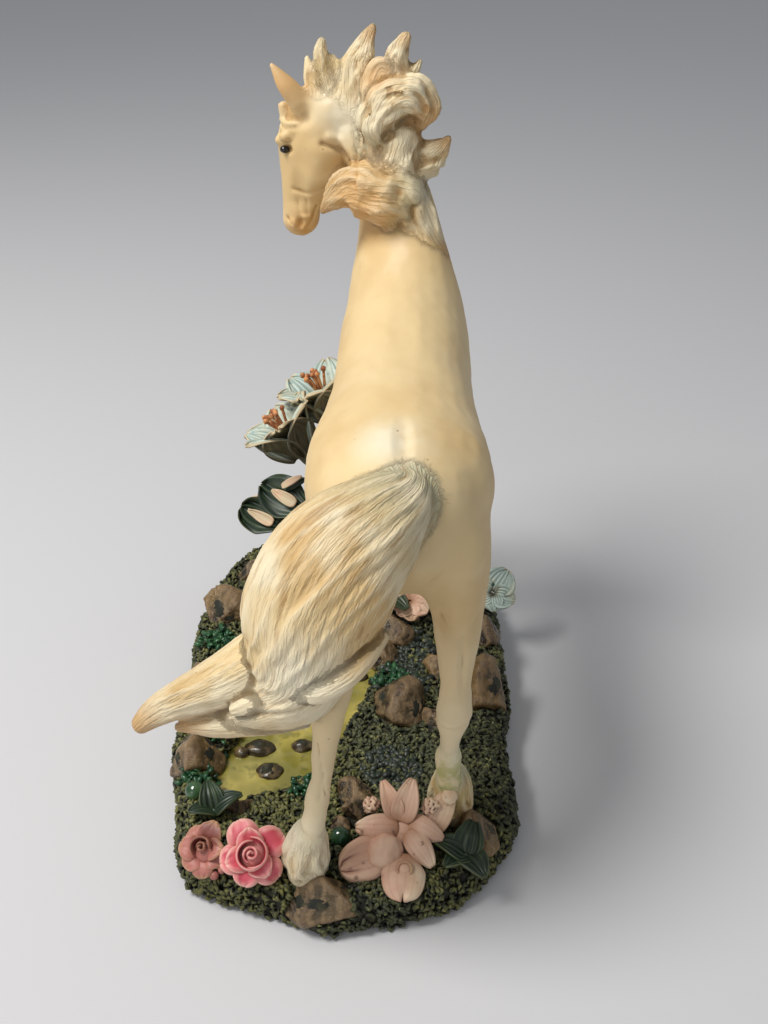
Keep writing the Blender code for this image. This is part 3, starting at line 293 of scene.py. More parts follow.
# Feathering: short tufts of hair that fall from each pastern over the hoof
feather = bmesh.new()
for (x, y), foot, lean in (((30.0, -58.5), 0.0, (0.4, 1.6)), ((-11.0, -80.0), 0.0, (1.4, 0.4)),
                           ((25.0, 53.0), 7.0, (0.2, -1.6))):
    for k in range(13):
        drop = 0.8 + 3.4 * ((k * 5) % 7) / 6
        rows = []
        for height, out, swirl, w, d in ((17.5, 1.5, 0.0, 1.2, 1.2), (13.0, 3.6, 0.18, 1.8, 1.5),
                                         (8.5, 4.9, 0.10, 1.8, 1.2), (5.0, 5.5, 0.36, 1.5, 1.0),
                                         (drop, 5.6, 0.62, 0.8, 0.7)):
            angle = math.tau * k / 13 + 0.3 + swirl * (1 if k % 3 else -0.7)
            shift = max(0.0, (height - 8) / 9.5)
            tuft_x = x + lean[0] * shift + math.cos(angle) * out
            tuft_y = y + lean[1] * shift + math.sin(angle) * out * 1.08
            rows.append((tuft_x, tuft_y, foot + height, w, d))
        add_limb(feather, lift(rows), (-math.sin(angle), math.cos(angle), 0), 36, 7,
                 strands(1.6, 0.9, 1.6, k + x), hair_samples)
tufts = settle_piece("feathering", feather)

# Head: ears, the stub that the lost horn left, the folds below it and the brow
face = bmesh.new()
add_limb(face, lift([(-10.4, 51.4, 171.5, 2.6, 2.2), (-13.8, 50.6, 177.6, 3.2, 2.6),
                     (-18, 50.4, 182.9, 2.8, 2.2), (-22.1, 51.2, 188.4, 0.6, 0.6)]),
         (0.2, -1, 0.2), 40, 8)
add_limb(face, lift([(-7, 58, 173, 3.0, 2.2), (-9, 60, 178, 3.6, 2.6), (-11, 61.5, 183, 2.8, 2.2),
                     (-12.4, 62.6, 188.6, 0.6, 0.6)]), (0.5, 0.8, 0.1), 40, 8)
add_limb(face, lift([(-16.2, 54, 170.0, 2.2, 2.0), (-18.6, 54.0, 173.4, 2.0, 1.8),
                     (-19.4, 53.8, 177.0, 1.5, 1.3)]),
         (0, 1, 0), 24, 4)
for height in (172.6, 170.4):
    add_limb(face, lift([(-20.2, 54, height, 0.8, 0.8), (-18.0, 50.6, height - 0.8, 0.9, 0.9),
                         (-13.6, 49.0, height - 0.2, 0.8, 0.8), (-10.4, 48.6, height + 0.6, 0.5, 0.5)]),
             (0, 0, 1), 20, 6)
add_limb(face, lift([(-16.6, 54, 164, 2.6, 2.6), (-19.2, 51.6, 168.0, 1.5, 1.4),
                     (-14.8, 49.8, 168.2, 1.1, 1.0)]),
         (0, 0, 1), 24, 5)
# Flat side of the neck between the jaw and the mane
add_limb(face, lift([(-6, 54, 172, 6, 5), (0, 52.5, 170, 7.4, 7), (6, 51, 164, 8.2, 7.4),
                     (11, 49.5, 155, 8.4, 8), (14, 49, 145, 8.4, 8.4)]),
         (0.5, -0.6, 0.6), 32, 6)
features = settle_piece("features", face)

horse = casting_copy("horse_casting", "horse")
apply_step(horse, "REMESH", mode="VOXEL", voxel_size=0.9 * MM)
apply_step(horse, "SMOOTH", factor=0.5, iterations=14)
join(horse, [locks, tufts, features])
apply_step(horse, "REMESH", mode="VOXEL", voxel_size=0.52 * MM)
apply_step(horse, "SMOOTH", factor=0.5, iterations=2)


def read_rows(collection, key):
    """Array of the three-part values that each member of a mesh collection holds."""
    flat = np.empty(len(collection) * 3, np.float32)
    collection.foreach_get(key, flat)
    return flat.reshape(-1, 3)


def coordinates(item):
    return read_rows(item.data.vertices, "co") / MM


def normals(item):
    return read_rows(item.data.vertex_normals, "vector")


def place_vertices(item, points):
    item.data.vertices.foreach_set("co", (points * MM).astype(np.float32).ravel())
    item.data.update()


def neighbour_mean(item, values, rounds):
    """Averages a value over neighbouring vertices, a few times over."""
    edges = np.empty(len(item.data.edges) * 2, np.int32)
    item.data.edges.foreach_get("vertices", edges)
    edges = edges.reshape(-1, 2)
    total = np.bincount(edges.ravel(), minlength=len(values)).astype(np.float64)
    total[total == 0] = 1
    result = values.astype(np.float64)
    for _ in range(rounds):
        columns = [np.bincount(edges[:, 0], result[edges[:, 1], c], len(values))
                   + np.bincount(edges[:, 1], result[edges[:, 0], c], len(values))
                   for c in range(values.shape[1])]
        result = np.stack(columns, 1) / total[:, None]
    return result


def write_attribute(item, name, values):
    layer = item.data.attributes.new(name, "FLOAT", "POINT")
    layer.data.foreach_set("value", values.astype(np.float32))


def mark_hollows(item, rounds, reach):
    """Stores how deep each point lies below the skin around it: 0 on a ridge, 1 in a groove."""
    points = coordinates(item)
    depth = ((neighbour_mean(item, points, rounds) - points) * normals(item)).sum(1)
    write_attribute(item, "hollow", np.clip(0.5 + depth / (2 * reach), 0, 1))


def dent(points, facing, centre, radius, depth, stretch):
    """Moves the skin along its normal round a point, by a soft round falloff.

    A small dent is first moved to the nearest point of the skin.
    """
    if radius < 3.5:
        centre = points[((points - np.array(centre)) ** 2).sum(1).argmin()]
    away = (points - np.array(centre)) / (np.array(stretch) * radius)
    fall = np.clip(1 - (away ** 2).sum(1), 0, 1) ** 2
    return facing * (fall * depth)[:, None]


def score(points, facing, path, width, depth):
    """Presses a groove, or raises a fold, along a line over the skin."""
    path = np.array([points[((points - np.array(spot)) ** 2).sum(1).argmin()] for spot in path])
    nearest = np.full(len(points), 1e9)
    for start, end in zip(path, path[1:]):
        along = end - start
        t = np.clip(((points - start) @ along) / (along @ along), 0, 1)
        nearest = np.minimum(nearest, np.linalg.norm(points - (start + t[:, None] * along), axis=1))
    fall = np.exp(-(nearest / width) ** 2)
    return facing * (fall * depth)[:, None]


def reshape_leg(points, line, factors):
    """Makes a leg thinner or fuller along its height, about its middle line."""
    line = np.array(line)
    middle = np.stack([np.interp(points[:, 2], line[:, 2], line[:, c]) for c in (0, 1)], 1)
    away = points[:, :2] - middle
    grow = np.interp(points[:, 2], *zip(*factors)) - 1.0
    near = np.clip(1.0 - (np.linalg.norm(away, axis=1) - 7.0) / 3.0, 0, 1)
    return np.concatenate([away * (grow * near)[:, None], np.zeros((len(points), 1))], 1)


points = coordinates(horse)
facing = normals(horse)
moved = reshape_leg(points, [(30, -58.5, 12), (29.6, -60, 25.5), (29, -61, 31), (28.6, -62, 38),
                             (28.7, -64.5, 47), (29.4, -67, 65), (29.8, -57, 84)],
                    [(38, 1.0), (42, 0.86), (48, 1.04), (54, 1.34), (59, 1.26), (63, 1.0),
                     (67.5, 0.82), (71, 0.85), (80, 1.0)])
moved += reshape_leg(points, [(-11, -80, 12), (-10, -80.8, 25), (-8.4, -80.5, 32), (-7, -80, 40),
                              (-5.5, -80.4, 50), (-3, -80, 73)],
                     [(24, 1.0), (29, 1.12), (37, 0.86), (44, 0.94), (56, 1.0)])
# Grooves and folds: two along the jaw, then those named beside them
for path, width, depth in (
        ([(-7.5, 47.2, 179.0), (-4.6, 46.4, 178.4), (-2.0, 45.6, 176.6), (0.2, 44.8, 173.0)], 0.9, -1.0),
        ([(-5.5, 46.6, 181.0), (-1.6, 45.4, 180.0), (1.6, 44.6, 176.4), (2.4, 44.4, 172.6)], 1.2, 0.8),
        ([(-18, 49.4, 164.6), (-12.8, 47.4, 163.4), (-7.2, 46.4, 165.6)], 0.7, -0.5),  # cheek
        ([(-16.4, 49, 161), (-15.6, 48.6, 157)], 0.6, -0.22),
        ([(-13.2, 48.4, 161.4), (-12.4, 48.2, 156.6)], 0.6, -0.22),
        ([(-20.4, 51, 155.2), (-19.0, 49.8, 153.4)], 0.6, -0.7),  # nostril
        ([(-8.8, 48.8, 158.4), (-11, 48.6, 154.6), (-13.4, 49.0, 151.8)], 0.6, -0.6),  # mouth
        ([(23, -65, 87), (27, -70, 84.4), (33, -69, 84.4), (37, -60, 88)], 1.8, -0.45),  # gaskin
        ([(-10, -72, 70), (-5, -86, 52), (-6, -86, 44)], 0.8, -0.5),
        ([(-8.1, -85.5, 62.7), (-5.3, -86, 55.4), (-2.7, -85, 44.6)], 0.3, -0.5)):  # crack
    moved += score(points, facing, path, width, depth)
for centre, radius, depth, stretch in (
        ((30, -64, 93), 8.0, 1.2, (1, 1, 1)),                 # end of the right thigh
        ((31.4, -71, 77), 3.0, -0.7, (0.6, 2.5, 4.6)),        # groove before the tendon
        ((28.0, -70, 59), 3.2, 0.8, (1.2, 1.5, 1.0)),         # point of the hock
        ((-12.6, 50.0, 186.0), 5.0, -1.5, (1.0, 1.0, 1.0)),   # narrow base of the ear
        ((-10.0, 47.0, 168.0), 7.5, 1.3, (1.0, 1.0, 1.1)),    # round of the jaw
        ((-14.5, 48.4, 160.5), 5.0, -0.5, (1.6, 1.2, 0.6)),   # step below the jaw
        ((-18.6, 49.4, 153.6), 2.4, 0.8, (1.0, 1.0, 0.9)),    # rim of the nostril
        ((-18.9, 50.8, 180.2), 2.6, 0.9, (1, 1, 0.8)),        # brow
        ((15.2, -54, 133), 5.0, -1.2, (0.7, 3.6, 1.2)),       # furrow down the croup
        ((36, -44, 122), 10.0, 0.9, (1, 1.2, 1.3)),           # right thigh
        ((35, -30, 104), 7.0, -0.8, (1, 0.8, 1.8)),           # hollow in front of the right thigh
        ((24, -66, 92), 7.0, -0.8, (0.9, 1, 1.8)),            # inner line of the right thigh
        ((16, 5, 138), 6.0, -0.5, (0.9, 5.0, 1.0)),           # line of the back
        ((-7.5, 47.5, 176), 6.0, 0.9, (1.1, 1, 1.0)),         # cheek
        ((-14.6, 49.8, 166), 4.5, -0.9, (0.8, 1, 1.5)),       # hollow below the eye
        ((-18.4, 49.6, 176.4), 2.3, -1.1, (1, 1, 0.8)),       # eye socket
        ((-15.4, 48.6, 154.0), 2.2, -1.1, (0.8, 1, 1.2)),     # nostril
        ((-13.0, 48.6, 156.2), 2.0, 0.7, (1.2, 1, 0.6)),
        ((-14.0, 49.0, 149.6), 3.0, -0.8, (1.6, 1, 0.25))):   # mouth
    moved += dent(points, facing, centre, radius, depth, stretch)
# The skin is a little uneven everywhere, and the outer locks of the mane are rougher
uneven = np.array([0.22 * noise.noise(Vector(p) * 0.11) + 0.10 * noise.noise(Vector(p) * 0.3)
                   for p in points])
outer_mane = (points[:, 2] > 160) & (points[:, 0] > 3) & (points[:, 1] < 50)
wild = np.zeros(len(points))
wild[outer_mane] = [1.5 * noise.noise(Vector(p) * 0.16) - 0.5 * abs(noise.noise(Vector(p) * 0.27))
                    for p in points[outer_mane]]
wild *= np.clip((points[:, 2] - 160) / 8, 0, 1)
place_vertices(horse, points + moved + facing * (uneven + wild)[:, None])

tree = kdtree.KDTree(len(hair_samples))
for index, sample in enumerate(hair_samples):
    tree.insert(sample[0], index)
tree.balance()
points = coordinates(horse)
hair_mask = np.zeros(len(points))
tip = np.zeros(len(points))
flow = np.zeros((len(points), 3))
for index, point in enumerate(points):
    if (point[1] > -55 and 45 < point[2] < 140) or (45 < point[2] < 60):
        continue
    _, sample, distance = tree.find(point)
    if distance < 2.6:
        hair_mask[index] = 1.0 - max(0.0, distance - 1.2) / 1.4
        tip[index] = hair_samples[sample][1]
        flow[index] = hair_samples[sample][2]
write_attribute(horse, "hair", neighbour_mean(horse, hair_mask[:, None], 3)[:, 0])
write_attribute(horse, "tip", neighbour_mean(horse, tip[:, None], 3)[:, 0])
combing = horse.data.attributes.new("flow", "FLOAT_VECTOR", "POINT")
combing.data.foreach_set("vector", neighbour_mean(horse, flow, 2).astype(np.float32).ravel())


def patches(points, level, slope, spots):
    """Soft round patches on the skin, from the middle and radius of each."""
    result = np.zeros(len(points))
    for centre, radius in spots:
        away = np.linalg.norm(points - np.array(centre), axis=1) / radius
        result = np.maximum(result, np.clip(level - slope * away, 0, 1))
    return result


# Where the paint is stained, where painted highlights stand for light on the neck, croup and tail
# and the lower legs are paler, and where glue came out at the right hind hoof
for name, level, slope, spots in (
        ("stain", 1.3, 1.0, (
            ((-19, 50.6, 195), 9.0), ((-15, 50, 152), 6.5), ((7.5, 50, 209), 4), ((9, 43, 198), 7),
            ((25, 40, 187), 7), ((3, 36, 164), 13), ((29, 41.8, 181), 4), ((-7, 42, 161), 7),
            ((-50, -84, 70), 9), ((-38, -84.5, 70), 7), ((11, 45, 199), 4.5), ((17, 45, 208), 3),
            ((28, 37, 149), 4))),
        ("pale_paint_and_highlight", 1.4, 1.4, (
            ((-1, 48, 187), 13), ((13, -50, 132), 13), ((-7, -94, 96), 13), ((-9, -95, 78), 9),
            ((-11, -82, 22), 18), ((29, -62, 40), 12), ((12, 44, 176), 9))),
        ("glue", 1.5, 1.5, (((28, -61, 32), 15),))):
    write_attribute(horse, name, patches(points, level, slope, spots))
mark_hollows(horse, 12, 0.4)
thin_to(horse, 190000)
horse.data.shade_smooth()


class Finish:
    """A paint or varnish under construction: one shader and short ways to add its nodes."""

    def __init__(self, name, roughness):
        self.material = bpy.data.materials.new(name)
        self.material.use_nodes = True
        self.nodes = self.material.node_tree.nodes
        self.links = self.material.node_tree.links
        self.shader = self.nodes["Principled BSDF"]
        self.shader.inputs["Roughness"].default_value = roughness
        self.where = self.nodes.new("ShaderNodeTexCoord").outputs["Object"]

    def join(self, source, target):
        self.links.new(source, target)

    def attribute(self, name):
        node = self.nodes.new("ShaderNodeAttribute")
        node.attribute_name = name
        return node.outputs["Fac"]

    def vector(self, name):
        node = self.nodes.new("ShaderNodeAttribute")
        node.attribute_name = name
        return node.outputs["Vector"]

    def noise(self, scale, detail=3.0, rough=0.55, where=None):
        node = self.nodes.new("ShaderNodeTexNoise")
        node.inputs["Scale"].default_value = scale
        node.inputs["Detail"].default_value = detail
        node.inputs["Roughness"].default_value = rough
        self.join(where or self.where, node.inputs["Vector"])
        return node.outputs["Fac"]

    def ribs(self, name, count):
        """Even ribs across a petal, from an attribute that runs from one side to the other."""
        node = self.nodes.new("ShaderNodeMath")
        node.operation = "SINE"
        self.join(self.times(self.attribute(name), count), node.inputs[0])
        return node.outputs[0]

    def bands(self, scale, distortion, fine):
        node = self.nodes.new("ShaderNodeTexWave")
        node.inputs["Scale"].default_value = scale
        node.inputs["Distortion"].default_value = distortion
        node.inputs["Detail"].default_value = 3.0
        node.inputs["Detail Scale"].default_value = fine
        self.join(self.where, node.inputs["Vector"])
        return node.outputs["Fac"]

    def cells(self, scale):
        node = self.nodes.new("ShaderNodeTexVoronoi")
        node.inputs["Scale"].default_value = scale
        self.join(self.where, node.inputs["Vector"])
        return node.outputs["Distance"]

    def range(self, value, low, high, to_low=0.0, to_high=1.0):
        node = self.nodes.new("ShaderNodeMapRange")
        node.interpolation_type = "SMOOTHSTEP"
        for key, number in (("From Min", low), ("From Max", high), ("To Min", to_low), ("To Max", to_high)):
            node.inputs[key].default_value = number
        self.join(value, node.inputs["Value"])
        return node.outputs["Result"]

    def times(self, first, second):
        node = self.nodes.new("ShaderNodeMath")
        node.operation = "MULTIPLY"
        for socket, value in zip(node.inputs, (first, second)):
            if isinstance(value, (int, float)):
                socket.default_value = value
            else:
                self.join(value, socket)
        return node.outputs[0]

    def mix(self, amount, first, second):
        node = self.nodes.new("ShaderNodeMix")
        node.data_type = "RGBA"
        for key, value in ((0, amount), (6, first), (7, second)):
            if isinstance(value, (int, float)):
                node.inputs[key].default_value = value
            elif isinstance(value, tuple):
                node.inputs[key].default_value = (*value, 1.0)
            else:
                self.join(value, node.inputs[key])
        return node.outputs[2]

    def axis(self, letter):
        node = self.nodes.new("ShaderNodeSeparateXYZ")
        self.join(self.where, node.inputs[0])
        return node.outputs[letter]

    def colour(self, value):
        self.join(value, self.shader.inputs["Base Color"])

    def rough(self, value):
        self.join(value, self.shader.inputs["Roughness"])

    def bump(self, value, strength, distance):
        node = self.nodes.new("ShaderNodeBump")
        node.inputs["Strength"].default_value = strength
        node.inputs["Distance"].default_value = distance
        self.join(value, node.inputs["Height"])
        self.join(node.outputs["Normal"], self.shader.inputs["Normal"])


def dress(item, finish, slot, *nodes):
    """Gives a piece its finish, its body and the solids that it stands for; the slot is not used."""
    item.data.materials.clear()
    item.data.materials.append(finish.material)
    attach(item, "root")
    if nodes:
        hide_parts(*nodes)


CREAM = (0.72, 0.545, 0.285)
TAN = (0.59, 0.385, 0.155)
OCHRE = (0.34, 0.18, 0.05)
BONE = (0.80, 0.69, 0.47)
SAGE = (0.47, 0.44, 0.28)
cream = Finish("cream_varnish", 0.45)
blotch = cream.range(cream.noise(30, 4), 0.40, 0.66)
skin = cream.mix(cream.times(blotch, 0.6), CREAM, TAN)
skin = cream.mix(cream.times(cream.range(cream.noise(17, 3), 0.52, 0.68), 0.4), skin, BONE)
skin = cream.mix(cream.times(cream.range(cream.axis("Z"), 0.10, 0.03), 0.6), skin, BONE)
root = cream.mix(cream.range(cream.attribute("tip"), 0.08, 0.4), SAGE, cream.mix(blotch, CREAM, TAN))
combed = cream.mix(cream.range(cream.noise(42, 2), 0.46, 0.66), root, BONE)
streaks = cream.noise(0.75, 3, 0.6, cream.vector("flow"))
combed = cream.mix(cream.times(cream.range(streaks, 0.51, 0.7), 0.62), combed, OCHRE)
combed = cream.mix(cream.times(cream.range(streaks, 0.47, 0.28), 0.35), combed, BONE)
skin = cream.mix(cream.attribute("hair"), skin, combed)
groove = cream.range(cream.attribute("hollow"), 0.55, 0.85)
skin = cream.mix(cream.times(groove, 0.7), skin, (0.36, 0.21, 0.07))
ridge = cream.range(cream.attribute("hollow"), 0.44, 0.2)
skin = cream.mix(cream.times(cream.times(ridge, cream.attribute("hair")), 0.5), skin, BONE)
# Painted highlights: whitish patches that stand for light on the neck, croup and tail; the two low on the
# legs are paler paint
pale_and_highlit_patches = cream.times(cream.attribute("pale_paint_and_highlight"), cream.range(cream.noise(55, 4), 0.36, 0.6, 0.25, 0.9))
skin = cream.mix(pale_and_highlit_patches, skin, (0.80, 0.72, 0.53))
skin = cream.mix(cream.times(cream.attribute("stain"), 0.7), skin, (0.58, 0.30, 0.085))
glued = cream.times(cream.attribute("glue"), cream.range(cream.noise(210, 4), 0.44, 0.6, 0.1, 0.85))
skin = cream.mix(glued, skin, (0.46, 0.45, 0.17))
speck = cream.times(cream.range(cream.cells(260), 0.12, 0.05), cream.range(cream.noise(120), 0.54, 0.64))
skin = cream.mix(cream.times(speck, 0.6), skin, (0.22, 0.13, 0.06))
cream.colour(skin)
cream.rough(cream.range(cream.noise(90, 4), 0.3, 0.75, 0.46, 0.62))
fine_hair = cream.times(cream.noise(1.25, 3, 0.55, cream.vector("flow")), cream.attribute("hair"))
cream.bump(fine_hair, 0.85, 0.0011)
dress(horse, cream, "cream_resin", "horse")

# Eyes: beads of glossy black paint, the left one in its carved socket
eye_bm = bmesh.new()
add_boulder(eye_bm, (-19.2, 51.0, 176.3), (1.5, 1.3, 1.15))
add_boulder(eye_bm, (-12.4, 62.6, 176.3), (1.4, 1.2, 1.35))
eyes = settle_piece("eyes", eye_bm)
eyes.data.shade_smooth()
black = Finish("eye_black", 0.12)
black.colour(black.mix(black.noise(900), (0.006, 0.005, 0.005), (0.02, 0.015, 0.012)))
dress(eyes, black, "cream_resin")


# Ground casting
# A heavy oval slab of resin with moulded soil, painted nearly black and washed with olive.
# The stones stand on it and the moss covers its top and sides.

# Where the stones stand: x, y, height of the middle over the ground, three half sizes, turn
STONES = [
    (-48, -36, -1, 8.0, 8.5, 8.5, 20), (-32, -57, -2, 5.0, 4.0, 4.0, 0), (-46, 39, 1, 9.5, 10.0, 9.0, -20),
    (-6, -86, -5.6, 10.5, 7.0, 7.4, 0), (37, -67, -1, 7.5, 7.5, 6.5, 30), (43, -5, 1, 8.5, 12.0, 9.5, 10),
    (46, 24, 0, 6.0, 8.0, 8.0, -15), (16, -14, 1, 9.0, 11.0, 8.5, 15), (27, -20, -1, 5.0, 6.0, 5.0, 0),
    (14, 23, 1, 8.0, 7.0, 7.0, 40), (2, -52, -1, 6.5, 5.5, 5.5, -20), (-2, -64, -2, 4.5, 3.6, 4.0, 20),
    (30, 6, -1, 6.0, 8.0, 5.5, 20), (-50, 2, -2, 5.5, 7.5, 6.0, 10), (-40, 62, -1, 6.0, 6.0, 6.0, 0),
    (38, 62, -1, 8.0, 8.0, 7.0, 30), (2, 82, -3, 9.0, 6.5, 7.0, -10), (-28, 78, -3, 7.0, 6.0, 6.0, 15),
    (10, 12, 0, 6.5, 6.0, 5.5, 0), (3, -58.5, 1, 5.0, 3.6, 4.2, 10)]


def within_stone(points, row):
    """How far points lie from the middle of a stone: 1 on its skin and less inside."""
    x, y, z, rx, ry, rz, turn = row
    c, s = math.cos(math.radians(turn)), math.sin(math.radians(turn))
    away = points - np.array([x, y, GROUND + z])
    local = np.stack([(away[:, 0] * c + away[:, 1] * s) / rx, (away[:, 1] * c - away[:, 0] * s) / ry,
                      away[:, 2] / rz], 1)
    return np.linalg.norm(local, axis=1)


ground = casting_copy("ground_casting", "ground")
apply_step(ground, "REMESH", mode="VOXEL", voxel_size=0.85 * MM)
apply_step(ground, "SMOOTH", factor=0.5, iterations=2)
points = coordinates(ground)
facing = normals(ground)
lumps = np.array([noise.noise(Vector(p) * 0.5) + 0.6 * noise.noise(Vector(p) * 1.3) for p in points])
lumps[points[:, 2] < 1.0] = 0
points += facing * (0.45 * lumps)[:, None]
for row in STONES:
    inside = within_stone(points, row)
    sunk = (inside < 1.15) & (points[:, 2] > GROUND - 6)
    middle = np.array([row[0], row[1], GROUND + row[2]])
    shrink = np.minimum(1.0, 0.84 / np.maximum(inside[sunk], 0.1))
    points[sunk] = middle + (points[sunk] - middle) * shrink[:, None]
place_vertices(ground, points)
thin_to(ground, 120000)
ground.data.shade_smooth()
soil = Finish("moss_soil", 0.75)
soil.colour(soil.mix(soil.range(soil.noise(300, 4), 0.4, 0.7), (0.008, 0.009, 0.004), (0.055, 0.05, 0.022)))
soil.bump(soil.noise(900, 4), 0.5, 0.0006)
dress(ground, soil, "mossy_ground", "ground")


def carve_stone(x, y, z, rx, ry, rz, turn):
    """One stone, knocked flat on a few sides and weathered."""
    bpy.ops.object.select_all(action="DESELECT")
    bpy.ops.mesh.primitive_ico_sphere_add(subdivisions=5, radius=1.0)
    stone = bpy.context.object
    own = Vector((x, y, z)) * 0.37
    flats = [Vector((math.cos(k * 2.4 + x), math.sin(k * 2.4 + x), 0.9 * math.sin(k * 1.7 + y))).normalized()
             for k in range(9)]
    spin = Matrix.Rotation(math.radians(turn), 3, "Z")
    for vert in stone.data.vertices:
        co = vert.co.copy()
        reach = 1.16 + 0.12 * noise.noise(co * 1.3 + own)
        for flat in flats:
            lean = co.dot(flat)
            if lean > 0.01:
                reach = min(reach, 0.80 / lean + 0.02)
        layered = Vector((co.x * 2.2, co.y * 2.2, co.z * 9.0)) + own
        reach += 0.04 * noise.noise(co * 3.1 + own) - 0.05 * abs(noise.noise(layered))
        reach += 0.025 * noise.noise(co * 14.0 + own)
        local = Vector((co.x * rx, co.y * ry, co.z * rz)) * reach
        vert.co = (Vector((x, y, GROUND + z)) + spin @ local) * MM
        vert.co.z = max(vert.co.z, 0.1 * MM)
    shade = 0.5 + 0.5 * math.sin(3.3 * x + 1.7 * y)
    write_attribute(stone, "shade", np.full(len(stone.data.vertices), shade))
    return stone


# Stones: set in the soil, brown and banded, with a coat of varnish over them
carved = [carve_stone(*row) for row in STONES]
join(carved[0], carved[1:])
stones = carved[0]
stones.name = "stones"
stones.data.shade_smooth()
mark_hollows(stones, 6, 0.3)
rock = Finish("varnished_stone", 0.35)
warm = rock.mix(rock.attribute("shade"), (0.085, 0.062, 0.030), (0.19, 0.112, 0.030))
wash = rock.mix(rock.range(rock.noise(85, 6, 0.7), 0.36, 0.62), (0.020, 0.012, 0.006), warm)
wash = rock.mix(rock.times(rock.range(rock.bands(85, 6, 2.0), 0.5, 0.9), 0.5), wash, (0.25, 0.17, 0.085))
wash = rock.mix(rock.times(rock.range(rock.noise(330, 3), 0.58, 0.68), 0.6), wash, (0.30, 0.20, 0.11))
wash = rock.mix(rock.range(rock.attribute("hollow"), 0.58, 0.95), wash, (0.022, 0.014, 0.007))
wash = rock.mix(rock.times(rock.range(rock.attribute("hollow"), 0.44, 0.2), 0.3), wash, (0.32, 0.20, 0.10))
rock.colour(wash)
rock.rough(rock.range(rock.noise(160, 3), 0.3, 0.7, 0.12, 0.45))
rock.bump(rock.noise(260, 7, 0.7), 0.8, 0.0014)
dress(stones, rock, "mossy_ground")


def scatter(name, surface, template, count, seed, allowed, size, sink):
    """Sets many small copies of one shape on a surface, each turned and sized by chance."""
    chance = np.random.default_rng(seed)
    mesh = surface.data
    number = len(mesh.polygons)
    area = np.empty(number, np.float32)
    mesh.polygons.foreach_get("area", area)
    centre = read_rows(mesh.polygons, "center") / MM
    normal = read_rows(mesh.polygons, "normal")
    weight = area * allowed(centre, normal)
    chosen = chance.choice(number, count, p=weight / weight.sum())
    shape, faces, heights = template
    n = normal[chosen] + chance.normal(0, 0.25, (count, 3))
    n /= np.linalg.norm(n, axis=1)[:, None]
    base = np.cross(n, chance.normal(0, 1, (count, 3)))
    base /= np.linalg.norm(base, axis=1)[:, None]
    other = np.cross(n, base)
    grown = chance.uniform(*size, count)[:, None, None]
    middle = centre[chosen] + chance.normal(0, 0.3, (count, 3)) - normal[chosen] * sink
    axes = np.stack([base, other, n], 1)
    placed = middle[:, None, :] + grown * np.einsum("vk,ckj->cvj", shape, axes)
    placed[:, :, 2] = np.maximum(placed[:, :, 2], 0.15)
    corners = (np.array(faces)[None] + (np.arange(count) * len(shape))[:, None, None]).reshape(-1, 4)
    made = bpy.data.meshes.new(name)
    made.vertices.add(count * len(shape))
    made.vertices.foreach_set("co", (placed.reshape(-1, 3) * MM).astype(np.float32).ravel())
    made.loops.add(corners.size)
    made.loops.foreach_set("vertex_index", corners.ravel().astype(np.int32))
    made.polygons.add(len(corners))
    made.polygons.foreach_set("loop_start", np.arange(0, corners.size, 4, dtype=np.int32))
    made.update(calc_edges=True)
    piece = bpy.data.objects.new(name, made)
    bpy.context.scene.collection.objects.link(piece)
    write_attribute(piece, "shade", np.repeat(chance.uniform(0, 1, count), len(shape)))
    write_attribute(piece, "tip", np.tile(heights, count))
    piece.data.shade_smooth()
    return piece


def tube_template(path, radii, sides, flat=1.0):
    """Closed tube of few faces along a path: vertices, quads and the height share of each vertex."""
    path = np.array(path, float)
    verts = []
    for index, (centre, radius) in enumerate(zip(path, radii)):
        along = path[min(index + 1, len(path) - 1)] - path[max(index - 1, 0)]
        along /= np.linalg.norm(along)
        side = np.cross(along, (0, 0.02, 1.0))
        side /= np.linalg.norm(side)
        rise = np.cross(side, along)
        for k in range(sides):
            angle = math.tau * k / sides
            verts.append(centre + radius * (flat * math.cos(angle) * side + math.sin(angle) * rise))
    quads = [(0, 1, 2, 3)]
    for ring in range(len(path) - 1):
        for k in range(sides):
            n = (k + 1) % sides
            quads.append((ring * sides + k, (ring + 1) * sides + k, (ring + 1) * sides + n, ring * sides + n))
    end = (len(path) - 1) * sides
    quads.append((end + 3, end + 2, end + 1, end))
    verts = np.array(verts)
    return verts, quads, np.clip(verts[:, 2] / verts[:, 2].max(), 0, 1)


# Moss: worm-like curls of coarse flock, pressed on while the paint was wet
CURL = tube_template(
    [(-0.9, 0.3, -0.5), (-0.75, -0.2, 0.45), (0.0, -0.35, 0.95), (0.65, 0.2, 0.6), (0.5, 0.85, 0.3)],
    [0.36, 0.46, 0.5, 0.44, 0.26], 4)
PEBBLY = tube_template(
    [(-0.9, 0.0, -0.4), (-0.6, 0.1, 0.5), (0.1, 0.3, 0.9), (0.9, 0.0, 0.5), (1.1, -0.3, -0.2)],
    [0.5, 0.75, 0.85, 0.7, 0.4], 4)
POOL_OUTLINE = [
    (-43, -45), (-34, -53), (-22, -51), (-11, -43), (-3, -30), (3, -13), (8, 3), (10, 15), (3, 21),
    (-7, 16), (-16, 6), (-25, -4), (-33, -16), (-39, -30)]


def mossy(centre, normal):
    """Where moss grows: not on the underside, the stones or the pool."""
    clear = np.ones(len(centre))
    clear[(centre[:, 2] < 1.2) | (normal[:, 2] < -0.35)] = 0
    for row in STONES:
        clear[within_stone(centre, row) < 1.0] = 0
    pool_line = np.array(POOL_OUTLINE, float)
    x, y = centre[:, 0], centre[:, 1]
    inside = np.zeros(len(centre), bool)
    for (x0, y0), (x1, y1) in zip(pool_line, np.roll(pool_line, -1, 0)):
        crosses = (y0 > y) != (y1 > y)
        inside ^= crosses & (x < x0 + (y - y0) * (x1 - x0) / (y1 - y0))
    clear[inside] = 0
    return clear


def moss_side(centre, normal):
    return mossy(centre, normal) * (normal[:, 2] < 0.8)


